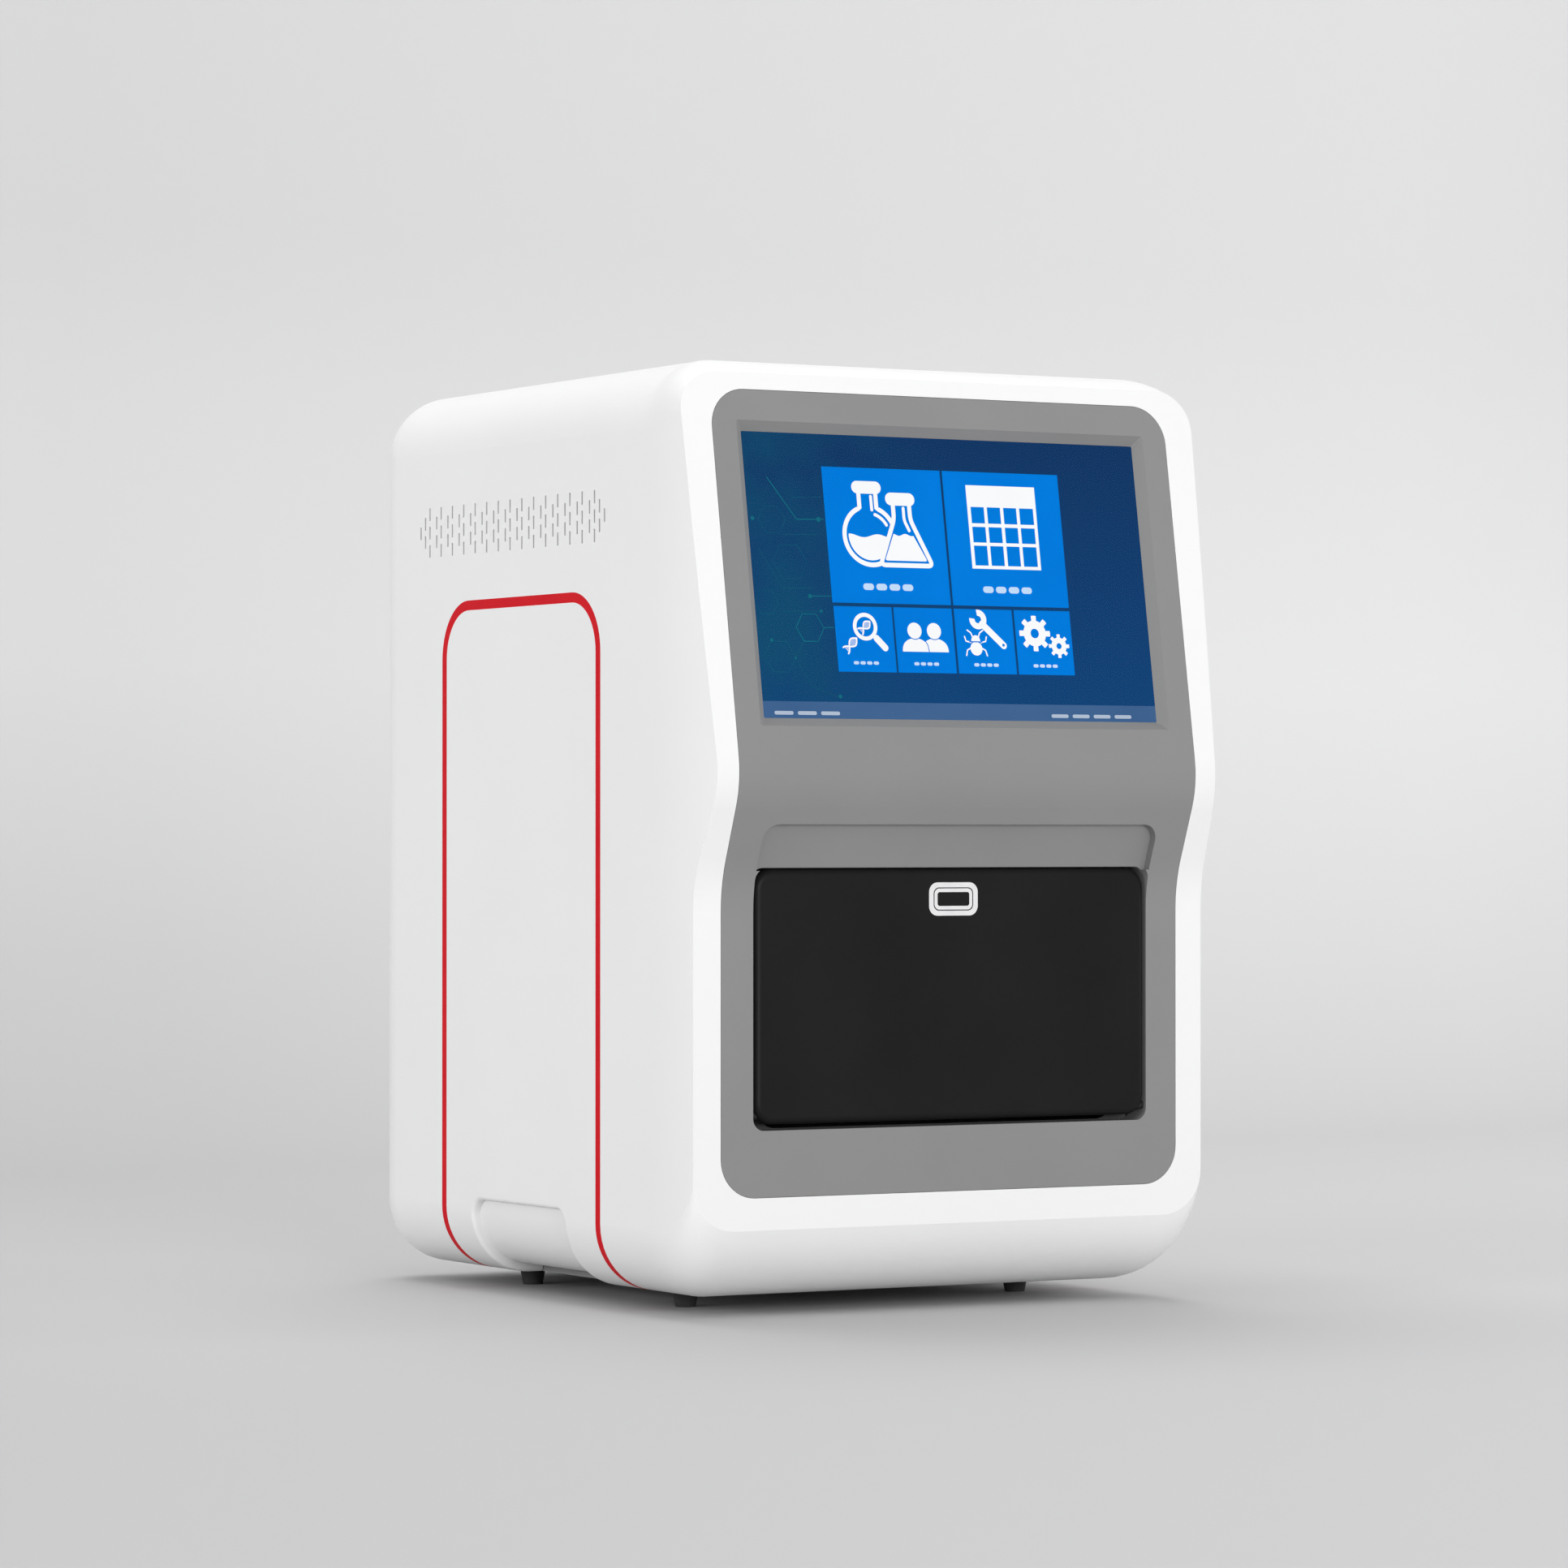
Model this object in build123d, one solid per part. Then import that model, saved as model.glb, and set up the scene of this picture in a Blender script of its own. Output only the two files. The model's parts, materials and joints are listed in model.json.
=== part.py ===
from build123d import *
from math import cos, pi, radians, sin, sqrt, tan
import os

# Bench-top PCR analyser: a tall white rounded casing with a bent grey front panel,
# a tilted touch screen, a black drop-down door over the sample chamber and
# a fan, inlet and sockets at the back.
# All sizes are millimetres. X runs to the right seen from the front, Y to the rear
# and Z up. The origin is on the bench, under the middle of the object's box.

# Casing, as wide as the screen with its grey and white borders
casing_border = 11.95
panel_border = 11.95
body_depth = 246.0
body_height = 304.7
foot_height = 6.2
edge_radius = 22.5
rear_radius = 21.5
casing_wall = 3.0

# Bent front: an upright lower face, a chin that leans out and a screen face that leans back
lower_setback = 12.1
ridge_height = 176.6
ridge_radius = 30.0
knee_radius = 45.0
screen_tilt = 9.36
chin_tilt = 21.67

# Nose: how the casing draws in towards the front face
nose_bottom_reach = 32.0
nose_bottom_radius = 33.7
nose_top_reach = 27.0
nose_top_radius = 36.0
nose_side_reach = 23.5
nose_side_radius = 163.0
nose_corner_low = 15.0
nose_corner_high = 9.0
nose_steps = 7
ridge_reach = 150.0

# Grey front panel
panel_low = 39.9
panel_high = 300.3
panel_corner = 12.5
panel_thickness = 2.8
panel_gap = 0.15
panel_ledge = 3.0
panel_ledge_thickness = 3.0

# Screen
screen_centre_height = 240.9
screen_width = 150.7
screen_height = 94.2
screen_bevel = 3.0
glass_margin = 4.0
glass_thickness = 1.1
lcd_margin = 3.5
lcd_thickness = 5.0
lcd_strip_height = 22.0
lcd_strip_thickness = 1.6
bracket_lug_inset = 5.35
bracket_lug_radius = 3.0

# Door, its opening and the finger scoop above it
door_border = 12.3
door_low = 63.2
door_high = 145.5
door_thickness = 6.0
door_corner = 6.75
door_edge_round = 2.4
door_skin = 2.5
door_rim = 3.2
door_side_gap = 0.5
door_bottom_gap = 1.9
door_top_gap = 0.4
opening_corner = 4.0
sill_wall = 1.8
sill_gap = 0.3
cover_thickness = 2.0
hinge_radius = 1.5
hinge_fit = 0.05
hinge_inset = 7.0
hinge_ear = 5.0
scoop_depth = 3.0
scoop_high = 159.9
scoop_corner = 5.5
scoop_wall = 3.0

# Release button
button_height = 135.5
button_width = 14.75
button_tall = 7.15
button_corner = 2.0
button_gap = 0.15
button_flange = 1.6
button_flange_thickness = 1.0
spring_wire = 0.4
spring_radius = 2.2
spring_turns = 3

# Side panels with their red trims and the grips
trim_front = 61.5
trim_rear_inset = 59.7
trim_top = 235.2
trim_width = 3.4
trim_corner = 18.3
trim_depth = 2.0
grip_front_inset = 23.7
grip_rear_inset = 21.3
grip_top = 31.9
grip_corner = 6.0
grip_depth = 3.0
grip_edge_round = 1.3
grip_wall = 2.5
underside_inset = 27.25

# Side vents
vent_slot_width = 1.0
vent_slot_height = 4.4
vent_row_pitch = 6.4
vent_column_pitch = 8.69
vent_stagger = 3.5
vent_front = 64.0
vent_rear_margin = 44.0
vent_height = 261.4

# Feet
foot_side_inset = 7.5
foot_front = 64.8
foot_rear_inset = 59.1
foot_top_radius = 4.6
foot_low_radius = 3.4
screw_radius = 1.5
screw_head_radius = 2.6
screw_head = 1.6
pan_head_height = 1.2
screw_slot = 0.7
screw_slot_reach = 1.6
screw_slot_depth = 0.8

# Base and chassis
base_thickness = 2.0
base_flange = 5.0
base_gap = 0.3
chassis_wall = 1.6
chassis_front = 16.0
chassis_leg_front = 40.0
chassis_leg_inset = 5.0
chassis_foot = 10.0
chassis_window_depth = 66.0
chassis_window_border = 19.0
shelf_rise = 36.0
shelf_rear_gap = 6.4

# Sample chamber behind the door
chamber_side_gap = 3.0
chamber_floor = 59.5
chamber_roof = 172.0
chamber_front = 10.0
chamber_depth = 98.0
chamber_wall = 2.0
chamber_lip = 4.0
chamber_mouth_high = 143.0

# Thermal block with its wells, heat pumps and heat sink
block_side_room = 30.0
block_edge = 6.0
block_width = 30.0
block_height = 20.0
block_centre = 52.0
block_seat = 3.8
well_rows = 2
well_pitch = 9.0
well_top_radius = 2.7
well_low_radius = 1.3
well_depth = 15.0
sink_side_gap = 7.0
sink_width = 90.0
sink_base = 6.0
sink_height = 44.0
sink_fins = 15
sink_fin_thickness = 1.6

# Heated lid, its guides and its drive
lid_travel = 24.0
lid_clearance = 2.0
lid_thickness = 9.0
lid_skirt = 3.0
rod_radius = 3.0
rod_side_gap = 12.0
rod_back = 27.0
rod_fit = 0.05
lid_screw_radius = 3.0
carrier_thickness = 9.0
arm_width = 8.0
motor_size = 28.0
motor_length = 30.0

# Scanning optics on the lid
optics_width = 22.0
optics_depth = 26.0
optics_height = 18.0
optics_lift = 4.0
rail_radius = 2.0
rail_spacing = 17.0
optics_screw_radius = 1.5
lens_radius = 2.4
small_motor_radius = 7.5
small_motor_length = 16.0

# Rear panel and what it carries
rear_low = 34.0
rear_high = 288.0
rear_corner = 8.0
rear_inset = 1.5
rear_thickness = 2.0
fan_size = 80.0
fan_depth = 25.0
fan_height = 82.0
fan_bore = 37.5
fan_screw_half = 35.75
fan_hub = 16.0
fan_blades = 7
fan_tip_gap = 1.2
guard_wire = 0.9
guard_rings = 5
socket_inset = 24.0
port_rise = 28.0
inlet_width = 27.2
inlet_tall = 19.8
inlet_well = 14.0
switch_rise = 25.0
switch_width = 21.0
switch_tall = 15.0
rocker_half = 7.6
rocker_tilt = 8.0
rocker_pivot = 4.0
rocker_pin = 1.2
rocker_pin_fit = 0.05

# Boards on the shelf
cage_wall = 1.2
cage_height = 40.0
cage_slot_pitch = 9.5
board_thickness = 1.6
board_lift = 6.0
board_rear_gap = 13.4

# Places that follow from the sizes above
front_y = -body_depth / 2
rear_y = body_depth / 2
lower_y = front_y + lower_setback
bottom_z = foot_height
top_z = foot_height + body_height
panel_half_width = screen_width / 2 + panel_border
half_width = panel_half_width + casing_border
body_width = 2 * half_width
underside_half_width = half_width - underside_inset
rear_half_width = underside_half_width
door_half_width = panel_half_width - door_border
chamber_half_width = door_half_width - chamber_side_gap
chamber_mouth_half = chamber_half_width - chamber_lip
rod_half_spacing = chamber_half_width - rod_side_gap
block_length = 2 * (chamber_half_width - block_side_room)
sink_length = 2 * (chamber_half_width - sink_side_gap)
hinge_y = lower_y + door_thickness / 2
hinge_z = door_low + door_thickness / 2
door_back = lower_y + door_thickness
cover_back = door_back + cover_thickness
opening_half = door_half_width + door_side_gap
opening_low = door_low - door_bottom_gap
opening_high = door_high + door_top_gap
trim_front_y = lower_y + trim_front
trim_rear_y = rear_y - trim_rear_inset
chamber_y = lower_y + chamber_front
chamber_back = chamber_y + chamber_depth
block_y = lower_y + block_centre
block_base = chamber_floor + chamber_wall + block_seat
block_top = block_base + block_height
lid_low = block_top + lid_clearance + lid_travel
lid_high = lid_low + lid_thickness
rod_y = chamber_back - rod_back
rail_reach = block_length / 2 + 4
base_top = bottom_z + base_thickness
base_front = lower_y + nose_bottom_reach + 4
base_rear = rear_y - rear_radius - 2
rear_face = rear_y - rear_inset
rear_back = rear_face - rear_thickness
port_height = fan_height + fan_size / 2 + port_rise
inlet_height = port_height
switch_height = inlet_height + switch_rise
socket_column = rear_half_width - socket_inset
chassis_shelf = port_height + shelf_rise
chassis_rear_y = rear_back - fan_depth - 0.4
shelf_top = chassis_shelf + chassis_wall
board_front_y = rod_y + motor_size / 2 + 20
board_rear_y = rear_back - board_rear_gap
board_half_width = chamber_half_width - 2


def block(x0, x1, y0, y1, z0, z1):
    """Box between two opposite corners."""
    return Pos((x0 + x1) / 2, (y0 + y1) / 2, (z0 + z1) / 2) * Box(x1 - x0, y1 - y0, z1 - z0)


def round_x(x0, x1, y, z, radius):
    """Round bar along X."""
    return Pos((x0 + x1) / 2, y, z) * Rotation(0, 90, 0) * Cylinder(radius, x1 - x0)


def round_y(x, y0, y1, z, radius):
    """Round bar along Y."""
    return Pos(x, (y0 + y1) / 2, z) * Rotation(90, 0, 0) * Cylinder(radius, y1 - y0)


def round_z(x, y, z0, z1, radius):
    """Round bar along Z."""
    return Pos(x, y, (z0 + z1) / 2) * Cylinder(radius, z1 - z0)


def facing_front(x, y, z):
    """Plane that faces the user, with its own X to the right and its own Y up."""
    return Plane(origin=(x, y, z), x_dir=(1, 0, 0), z_dir=(0, -1, 0))


def rounded_bar(half, low, high, radius, y0, y1, x=0):
    """Bar along Y with a rounded rectangle as its section."""
    section = facing_front(x, y1, (low + high) / 2) * RectangleRounded(2 * half, high - low, radius)
    return extrude(section, amount=y1 - y0)


def join(pieces):
    """One shape out of a list."""
    shape = pieces[0]
    for piece in pieces[1:]:
        shape = shape + piece
    return shape


def group(pieces):
    """Separate solids that share one name."""
    return Compound(children=pieces)


def front_outline(inset):
    """Side view of all that lies behind the bent front face, as a face in the YZ plane.

    The ridge is an arc about its own centre, the knee an arc tangent to the chin and
    to the lower face, and an inset makes the first smaller and the second larger.
    """
    lean, chin = radians(screen_tilt), radians(chin_tilt)
    centre_y, centre_z = front_y + ridge_radius, ridge_height
    ridge = ridge_radius - inset
    knee = knee_radius + inset
    ridge_top = (centre_y - ridge * cos(lean), centre_z + ridge * sin(lean))
    ridge_mid = (centre_y - ridge, centre_z)
    ridge_low = (centre_y - ridge * cos(chin), centre_z - ridge * sin(chin))
    plane_y = lower_y + inset
    run = (plane_y - ridge_low[0]) / sin(chin)
    vertex_z = ridge_low[1] - run * cos(chin)
    tangent = knee * tan(chin / 2)
    knee_low = (plane_y, vertex_z - tangent)
    knee_mid = (plane_y - knee + knee * cos(chin / 2), knee_low[1] + knee * sin(chin / 2))
    knee_top = (plane_y - knee + knee * cos(chin), knee_low[1] + knee * sin(chin))
    sky, ground, far = top_z + 20, bottom_z - 20, rear_y + 20
    peak = (ridge_top[0] + (sky - ridge_top[1]) * tan(lean), sky)

    def point(pair):
        return (-body_width, pair[0], pair[1])

    edges = [
        Line(point((plane_y, ground)), point(knee_low)),
        ThreePointArc(point(knee_low), point(knee_mid), point(knee_top)),
        Line(point(knee_top), point(ridge_low)),
        ThreePointArc(point(ridge_low), point(ridge_mid), point(ridge_top)),
        Line(point(ridge_top), point(peak)),
        Line(point(peak), point((far, sky))),
        Line(point((far, sky)), point((far, ground))),
        Line(point((far, ground)), point((plane_y, ground))),
    ]
    return make_face(edges)


def behind_front(inset):
    """Everything behind the bent front face, or behind a face set further in."""
    return extrude(front_outline(inset), amount=2 * body_width, dir=(1, 0, 0))


def screen_point(depth):
    """Centre of the screen on the leaning face, a depth below its surface."""
    lean = radians(screen_tilt)
    y = front_y + ridge_radius - ridge_radius * cos(lean)
    y += (screen_centre_height - ridge_height - ridge_radius * sin(lean)) * tan(lean)
    return (0, y + depth * cos(lean), screen_centre_height - depth * sin(lean))


def screen_plane(depth):
    """Plane parallel to the leaning face that looks out of it."""
    lean = radians(screen_tilt)
    return Plane(origin=screen_point(depth), x_dir=(1, 0, 0), z_dir=(0, -cos(lean), sin(lean)))


def screen_plate(width, height, radius, depth, thickness):
    """Rounded plate parallel to the screen, from a depth inwards."""
    outline = screen_plane(depth + thickness) * RectangleRounded(width, height, radius)
    return extrude(outline, amount=thickness)


def arc_drop(radius, run):
    """How far an arc falls away from its tangent after a run, kept short of its end."""
    run = min(max(run, 0), 0.985 * radius)
    return radius - sqrt(radius * radius - run * run)


def side_half(y, inset):
    """Half width of the casing at a place along its depth."""
    run = lower_y + nose_side_reach - y
    return half_width - inset - arc_drop(nose_side_radius - inset, run)


def nose_section(y, inset):
    """Rounded section of the nose, with softer corners towards the front."""
    reach = y - lower_y
    half = side_half(y, inset)
    low = bottom_z + inset + arc_drop(nose_bottom_radius - inset, nose_bottom_reach - reach)
    high = top_z - inset - arc_drop(nose_top_radius - inset, nose_top_reach - reach)
    share_low = reach / nose_bottom_reach
    share_high = min(reach / nose_top_reach, 1)
    r_low = nose_corner_low + (edge_radius - nose_corner_low) * share_low - inset
    r_high = nose_corner_high + (edge_radius - nose_corner_high) * share_high - inset
    k_low, k_high = r_low * (1 - sqrt(0.5)), r_high * (1 - sqrt(0.5))

    def at(x, z):
        return (x, y, z)

    edges = []
    for side in (-1, 1):
        edges += [
            ThreePointArc(at(side * (half - r_low), low), at(side * (half - k_low), low + k_low),
                          at(side * half, low + r_low)),
            Line(at(side * half, low + r_low), at(side * half, high - r_high)),
            ThreePointArc(at(side * half, high - r_high), at(side * (half - k_high), high - k_high),
                          at(side * (half - r_high), high)),
        ]
    edges.append(Line(at(r_low - half, low), at(half - r_low, low)))
    edges.append(Line(at(r_high - half, high), at(half - r_high, high)))
    return make_face(edges)


def straight_bar(inset, y0, y1):
    """The casing's even stretch behind the nose."""
    radius = edge_radius - inset
    return rounded_bar(half_width - inset, bottom_z + inset, top_z - inset, radius, y0, y1)


def casing_form(inset):
    """The whole rounded form, or the same form a wall further in."""
    nose_end = lower_y + nose_bottom_reach
    bar = straight_bar(inset, nose_end, rear_y - inset)
    rear_edges = bar.faces().sort_by(Axis.Y)[-1].edges()
    bar = fillet(rear_edges, rear_radius - inset)
    reach = nose_bottom_reach - inset
    places = [nose_end - reach * sin(pi / 2 * step / nose_steps) for step in range(nose_steps + 1)]
    nose = loft([nose_section(y, inset) for y in reversed(places)])
    start, tip = lower_y + inset, front_y - 2
    middle = (start + tip) / 2
    w0, w1, w2 = side_half(start, inset), side_half(middle, inset), side_half(tip, inset)
    z = ridge_height - ridge_reach / 2
    plan = make_face([
        Line((-w0, start, z), (w0, start, z)),
        ThreePointArc((w0, start, z), (w1, middle, z), (w2, tip, z)),
        Line((w2, tip, z), (-w2, tip, z)),
        ThreePointArc((-w2, tip, z), (-w1, middle, z), (-w0, start, z)),
    ])
    ridge = extrude(plan, amount=ridge_reach, dir=(0, 0, 1))
    return (bar + nose + ridge) & behind_front(inset)


def panel_bar(grow, y0, y1):
    """Outline of the grey panel, run front to back."""
    return rounded_bar(panel_half_width + grow, panel_low - grow, panel_high + grow, panel_corner + grow, y0, y1)


def trim_region(grow, side):
    """Tall arch on one side of the casing, along the middle of the red trim."""
    y0, y1, z1 = trim_front_y - grow, trim_rear_y + grow, trim_top + grow
    z0 = bottom_z - 10
    radius = trim_corner + grow
    x = side * underside_half_width
    outline = Plane.YZ.offset(x) * Pos((y0 + y1) / 2, (z0 + z1) / 2) * Rectangle(y1 - y0, z1 - z0)
    shape = extrude(outline, amount=side * (half_width - underside_half_width + 5))
    top_edges = shape.edges().filter_by(Axis.X).group_by(Axis.Z)[-1]
    return fillet(top_edges, radius)


def grip_region(grow, side):
    """Finger space in the lower edge of one side, seen from that side."""
    y0, y1 = trim_front_y + grip_front_inset - grow, trim_rear_y - grip_rear_inset + grow
    z1 = grip_top + grow
    z0 = bottom_z - 10
    x = side * underside_half_width
    outline = Plane.YZ.offset(x) * Pos((y0 + y1) / 2, (z0 + z1) / 2) * Rectangle(y1 - y0, z1 - z0)
    shape = extrude(outline, amount=side * (half_width - underside_half_width + 5))
    top_edges = shape.edges().filter_by(Axis.X).group_by(Axis.Z)[-1]
    return fillet(top_edges, grip_corner + grow)


def vent_slots(side):
    """Columns of three slots with two beside each, and both ends tapering to a single slot."""
    x0, x1 = sorted((side * (half_width - casing_wall - 1), side * (half_width + 1)))
    start = lower_y + vent_front
    run = rear_y - vent_rear_margin - vent_stagger - start
    columns = [start + index * vent_column_pitch for index in range(int(run / vent_column_pitch) + 1)]
    places = [(y, row) for y in columns for row in (-1, 0, 1)]
    places += [(y + vent_stagger, row) for y in columns + [start - 2 * vent_stagger] for row in (-0.5, 0.5)]
    places += [(start - 2 * vent_stagger, 0), (columns[-1] + 2 * vent_stagger, 0)]
    slots = []
    for y, row in places:
        z = vent_height + row * vent_row_pitch
        slots.append(block(x0, x1, y - vent_slot_width / 2, y + vent_slot_width / 2,
                           z - vent_slot_height / 2, z + vent_slot_height / 2))
    return slots


def make_casing(outer, inner):
    """White casing: one skin with a front frame, a rear frame and an open underside."""
    ledge = panel_bar(3.0, front_y, lower_y + 60) & (behind_front(1.5) - behind_front(
        panel_thickness + panel_ledge_thickness))
    shell = (outer - inner) + ledge
    shell -= panel_bar(panel_gap, front_y - 5, lower_y + 60) - behind_front(panel_thickness)
    shell -= rounded_bar(panel_half_width - panel_ledge, panel_low + panel_ledge, panel_high - panel_ledge,
                         panel_corner - panel_ledge, front_y - 5, lower_y + 40)
    rear_ledge = rounded_bar(rear_half_width + 4, rear_low - 4, rear_high + 4, rear_corner + 4,
                             rear_back - 3, rear_y - 1)
    shell += rear_ledge
    shell -= rounded_bar(rear_half_width + base_gap, rear_low - base_gap, rear_high + base_gap,
                         rear_corner + base_gap, rear_back, rear_y + 5)
    shell -= rounded_bar(rear_half_width - 4, rear_low + 4, rear_high - 4, rear_corner - 4,
                         rear_back - 10, rear_y + 5)
    shell -= block(-underside_half_width, underside_half_width, base_front, base_rear,
                   bottom_z - 5, bottom_z + casing_wall + 1)
    for side in (-1, 1):
        shell -= trim_region(trim_width / 2, side)
        shell -= vent_slots(side)
    return shell


def make_side_panel(side):
    """White inlay inside the red trim, which wraps the lower edge and holds the grip."""
    y0, y1 = trim_front_y - 5, trim_rear_y + 5
    outer = straight_bar(0, y0, y1)
    region = trim_region(-trim_width / 2, side)
    skin = (outer - straight_bar(casing_wall, y0, y1)) & region
    pocket = (outer - straight_bar(grip_depth + grip_wall, y0, y1)) & grip_region(grip_wall, side)
    space = (straight_bar(-1, y0, y1) - straight_bar(grip_depth, y0, y1)) & grip_region(0, side)
    whole = skin + pocket
    panel = whole - space
    rim = [edge for edge in new_edges(whole, space, combined=panel) if edge.center().Z > bottom_z + 1]
    return fillet(rim, grip_edge_round)


def make_side_trim(side):
    """Red strip between the casing and its inlay."""
    y0, y1 = trim_front_y - 5, trim_rear_y + 5
    skin = straight_bar(0, y0, y1) - straight_bar(trim_depth, y0, y1)
    return skin & (trim_region(trim_width / 2, side) - trim_region(-trim_width / 2, side))


def foot_places():
    """The four places where the object stands."""
    half = underside_half_width - foot_side_inset
    return [(x, y) for x in (-half, half) for y in (lower_y + foot_front, rear_y - foot_rear_inset)]


def cross_recess(place):
    """Driver recess of a screw, cut at the middle of its head's face."""
    wide, deep = 2 * screw_slot_reach, 2 * screw_slot_depth
    return place * (Box(wide, screw_slot, deep) + Box(screw_slot, wide, deep))


def make_base():
    """Folded steel pan that closes the underside."""
    half = underside_half_width - base_gap
    y0, y1 = base_front + base_gap, base_rear - base_gap
    plate = block(-half, half, y0, y1, bottom_z, base_top)
    ends = block(-half, half, y0, y0 + chassis_wall, base_top, base_top + base_flange)
    ends += block(-half, half, y1 - chassis_wall, y1, base_top, base_top + base_flange)
    pan = plate + ends
    for x, y in foot_places():
        pan -= round_z(x, y, bottom_z - 1, base_top + 1, screw_radius + 0.1)
    slots = [block(-34, 34, y0 + 30 + 9 * row, y0 + 33.5 + 9 * row, bottom_z - 1, base_top + 1)
             for row in range(7)]
    return pan - slots


def make_feet():
    """Four rubber feet, narrower at the floor, with a well for the screw's head."""
    feet = []
    for x, y in foot_places():
        foot = Pos(x, y, foot_height / 2) * Cone(foot_low_radius, foot_top_radius, foot_height)
        foot -= round_z(x, y, -1, screw_head + 0.6, screw_head_radius + 0.05)
        foot -= round_z(x, y, 0, foot_height + 1, screw_radius + 0.05)
        feet.append(foot)
    return group(feet)


def make_foot_screws():
    """Four screws that hold the feet to the pan."""
    screws = []
    for x, y in foot_places():
        screw = round_z(x, y, 0.6, 0.6 + screw_head, screw_head_radius)
        screw += round_z(x, y, 0.6 + screw_head, base_top + 2.5, screw_radius)
        screws.append(screw - cross_recess(Pos(x, y, 0.6)))
    return group(screws)


def make_chassis():
    """Sheet frame: joggled uprights that carry the chamber, and a shelf for the boards."""
    inner = chamber_half_width + chamber_wall
    y0, y1 = lower_y + chassis_front, chassis_rear_y
    leg_y = lower_y + chassis_leg_front
    leg_half = underside_half_width - chassis_leg_inset
    window_y = y1 - chassis_window_border - chassis_window_depth
    seat = chamber_floor - chassis_wall
    top = chassis_shelf + chassis_wall
    uprights = []
    for side in (-1, 1):
        x0, x1 = sorted((side * inner, side * (inner + chassis_wall)))
        leg0, leg1 = sorted((side * leg_half, side * (leg_half + chassis_wall)))
        seat0, seat1 = sorted((side * leg_half, side * (inner + chassis_wall)))
        foot0, foot1 = sorted((side * (leg_half - chassis_foot), side * leg_half))
        wall = block(x0, x1, y0, y1, seat, top)
        wall -= block(x0 - 1, x1 + 1, window_y, window_y + chassis_window_depth,
                      seat + chassis_window_border, top - chassis_window_border)
        leg = block(leg0, leg1, leg_y, y1, base_top, chamber_floor)
        leg -= block(leg0 - 1, leg1 + 1, window_y, window_y + chassis_window_depth,
                     base_top + chassis_window_border / 2, seat - chassis_window_border / 2)
        wall += leg + block(seat0, seat1, leg_y, y1, seat, chamber_floor)
        wall += block(foot0, foot1, leg_y, y1, base_top, base_top + chassis_wall)
        uprights.append(wall)
    shelf = block(-inner, inner, y0 + 10, rear_back - shelf_rear_gap, chassis_shelf, top)
    motor_gap = motor_size / 2 + 2
    shelf -= block(-motor_gap, motor_gap, rod_y - motor_gap, rod_y + motor_gap,
                   chassis_shelf - 1, chassis_shelf + 5)
    frame = join(uprights + [shelf])
    for x, y in foot_places():
        frame -= round_z(x, y, base_top - 1, base_top + chassis_wall + 1, screw_radius + 0.1)
    return frame


def make_front_panel():
    """Grey bent panel with the bevelled screen window, the finger scoop and the door opening."""
    band = panel_bar(0, front_y - 5, lower_y + 60) & (behind_front(0) - behind_front(panel_thickness))
    backing = block(-opening_half - scoop_wall, opening_half + scoop_wall, front_y - 5, lower_y + 40,
                    opening_high - 3, scoop_high + scoop_wall)
    band += backing & (behind_front(1) - behind_front(scoop_depth + scoop_wall))
    for side in (-1, 1):
        x0, x1 = sorted((side * (opening_half), side * (opening_half + hinge_ear)))
        band += block(x0, x1, lower_y + 1, lower_y + door_thickness + 1, hinge_z - 4, hinge_z + 5)
    band += rounded_bar(opening_half + sill_wall, opening_low - sill_wall, opening_high + sill_wall,
                        opening_corner + sill_wall, lower_y + 1, chamber_y - sill_gap)
    scoop = rounded_bar(opening_half, opening_low, scoop_high, scoop_corner, front_y - 5, lower_y + 40)
    band -= (scoop - behind_front(scoop_depth)) & block(
        -body_width, body_width, front_y - 5, lower_y + 40, opening_high - 1, scoop_high + 5)
    band -= rounded_bar(opening_half, opening_low, opening_high, opening_corner, front_y - 5, lower_y + 40)
    pin_hole = round_x(-opening_half - hinge_ear + 1, opening_half + hinge_ear - 1, hinge_y, hinge_z, hinge_radius)
    band -= pin_hole
    wide = screen_plane(-0.5) * RectangleRounded(screen_width + 2 * screen_bevel * 1.18,
                                                screen_height + 2 * screen_bevel * 1.18, 0.8)
    narrow = screen_plane(panel_thickness) * RectangleRounded(screen_width, screen_height, 0.4)
    window = loft([wide, narrow])
    window += screen_plate(screen_width, screen_height, 0.4, panel_thickness - 0.1, 2)
    return band - window


def make_touch_glass():
    """Touch glass behind the window."""
    return screen_plate(screen_width + 2 * glass_margin, screen_height + 2 * glass_margin, 2,
                        panel_thickness, glass_thickness)


def make_lcd():
    """Liquid crystal module with its metal rim and the driver strip at its back."""
    depth = panel_thickness + glass_thickness
    lcd = screen_plate(screen_width + 2 * lcd_margin, screen_height + 2 * lcd_margin, 1, depth, lcd_thickness)
    lcd += screen_plate(screen_width * 2 / 3, lcd_strip_height, 1, depth + lcd_thickness, lcd_strip_thickness)
    return lcd


def make_display_bracket():
    """Pressed frame that clamps the glass and the module against the panel."""
    depth = panel_thickness + glass_thickness + lcd_thickness
    outer = screen_plate(screen_width + 15, screen_height + 22, 3, depth, 1.5)
    window = screen_plate(screen_width - 24, screen_height - 24, 6, depth - 1, 4)
    lugs = []
    length = depth - panel_thickness
    for side in (-1, 1):
        for v in (-1, 1):
            place = Pos(side * (screen_width / 2 - bracket_lug_inset), v * (screen_height / 2 + 7.5), length / 2)
            lugs.append(screen_plane(depth) * place * Cylinder(bracket_lug_radius, length))
    return (outer - window) + lugs


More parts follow.
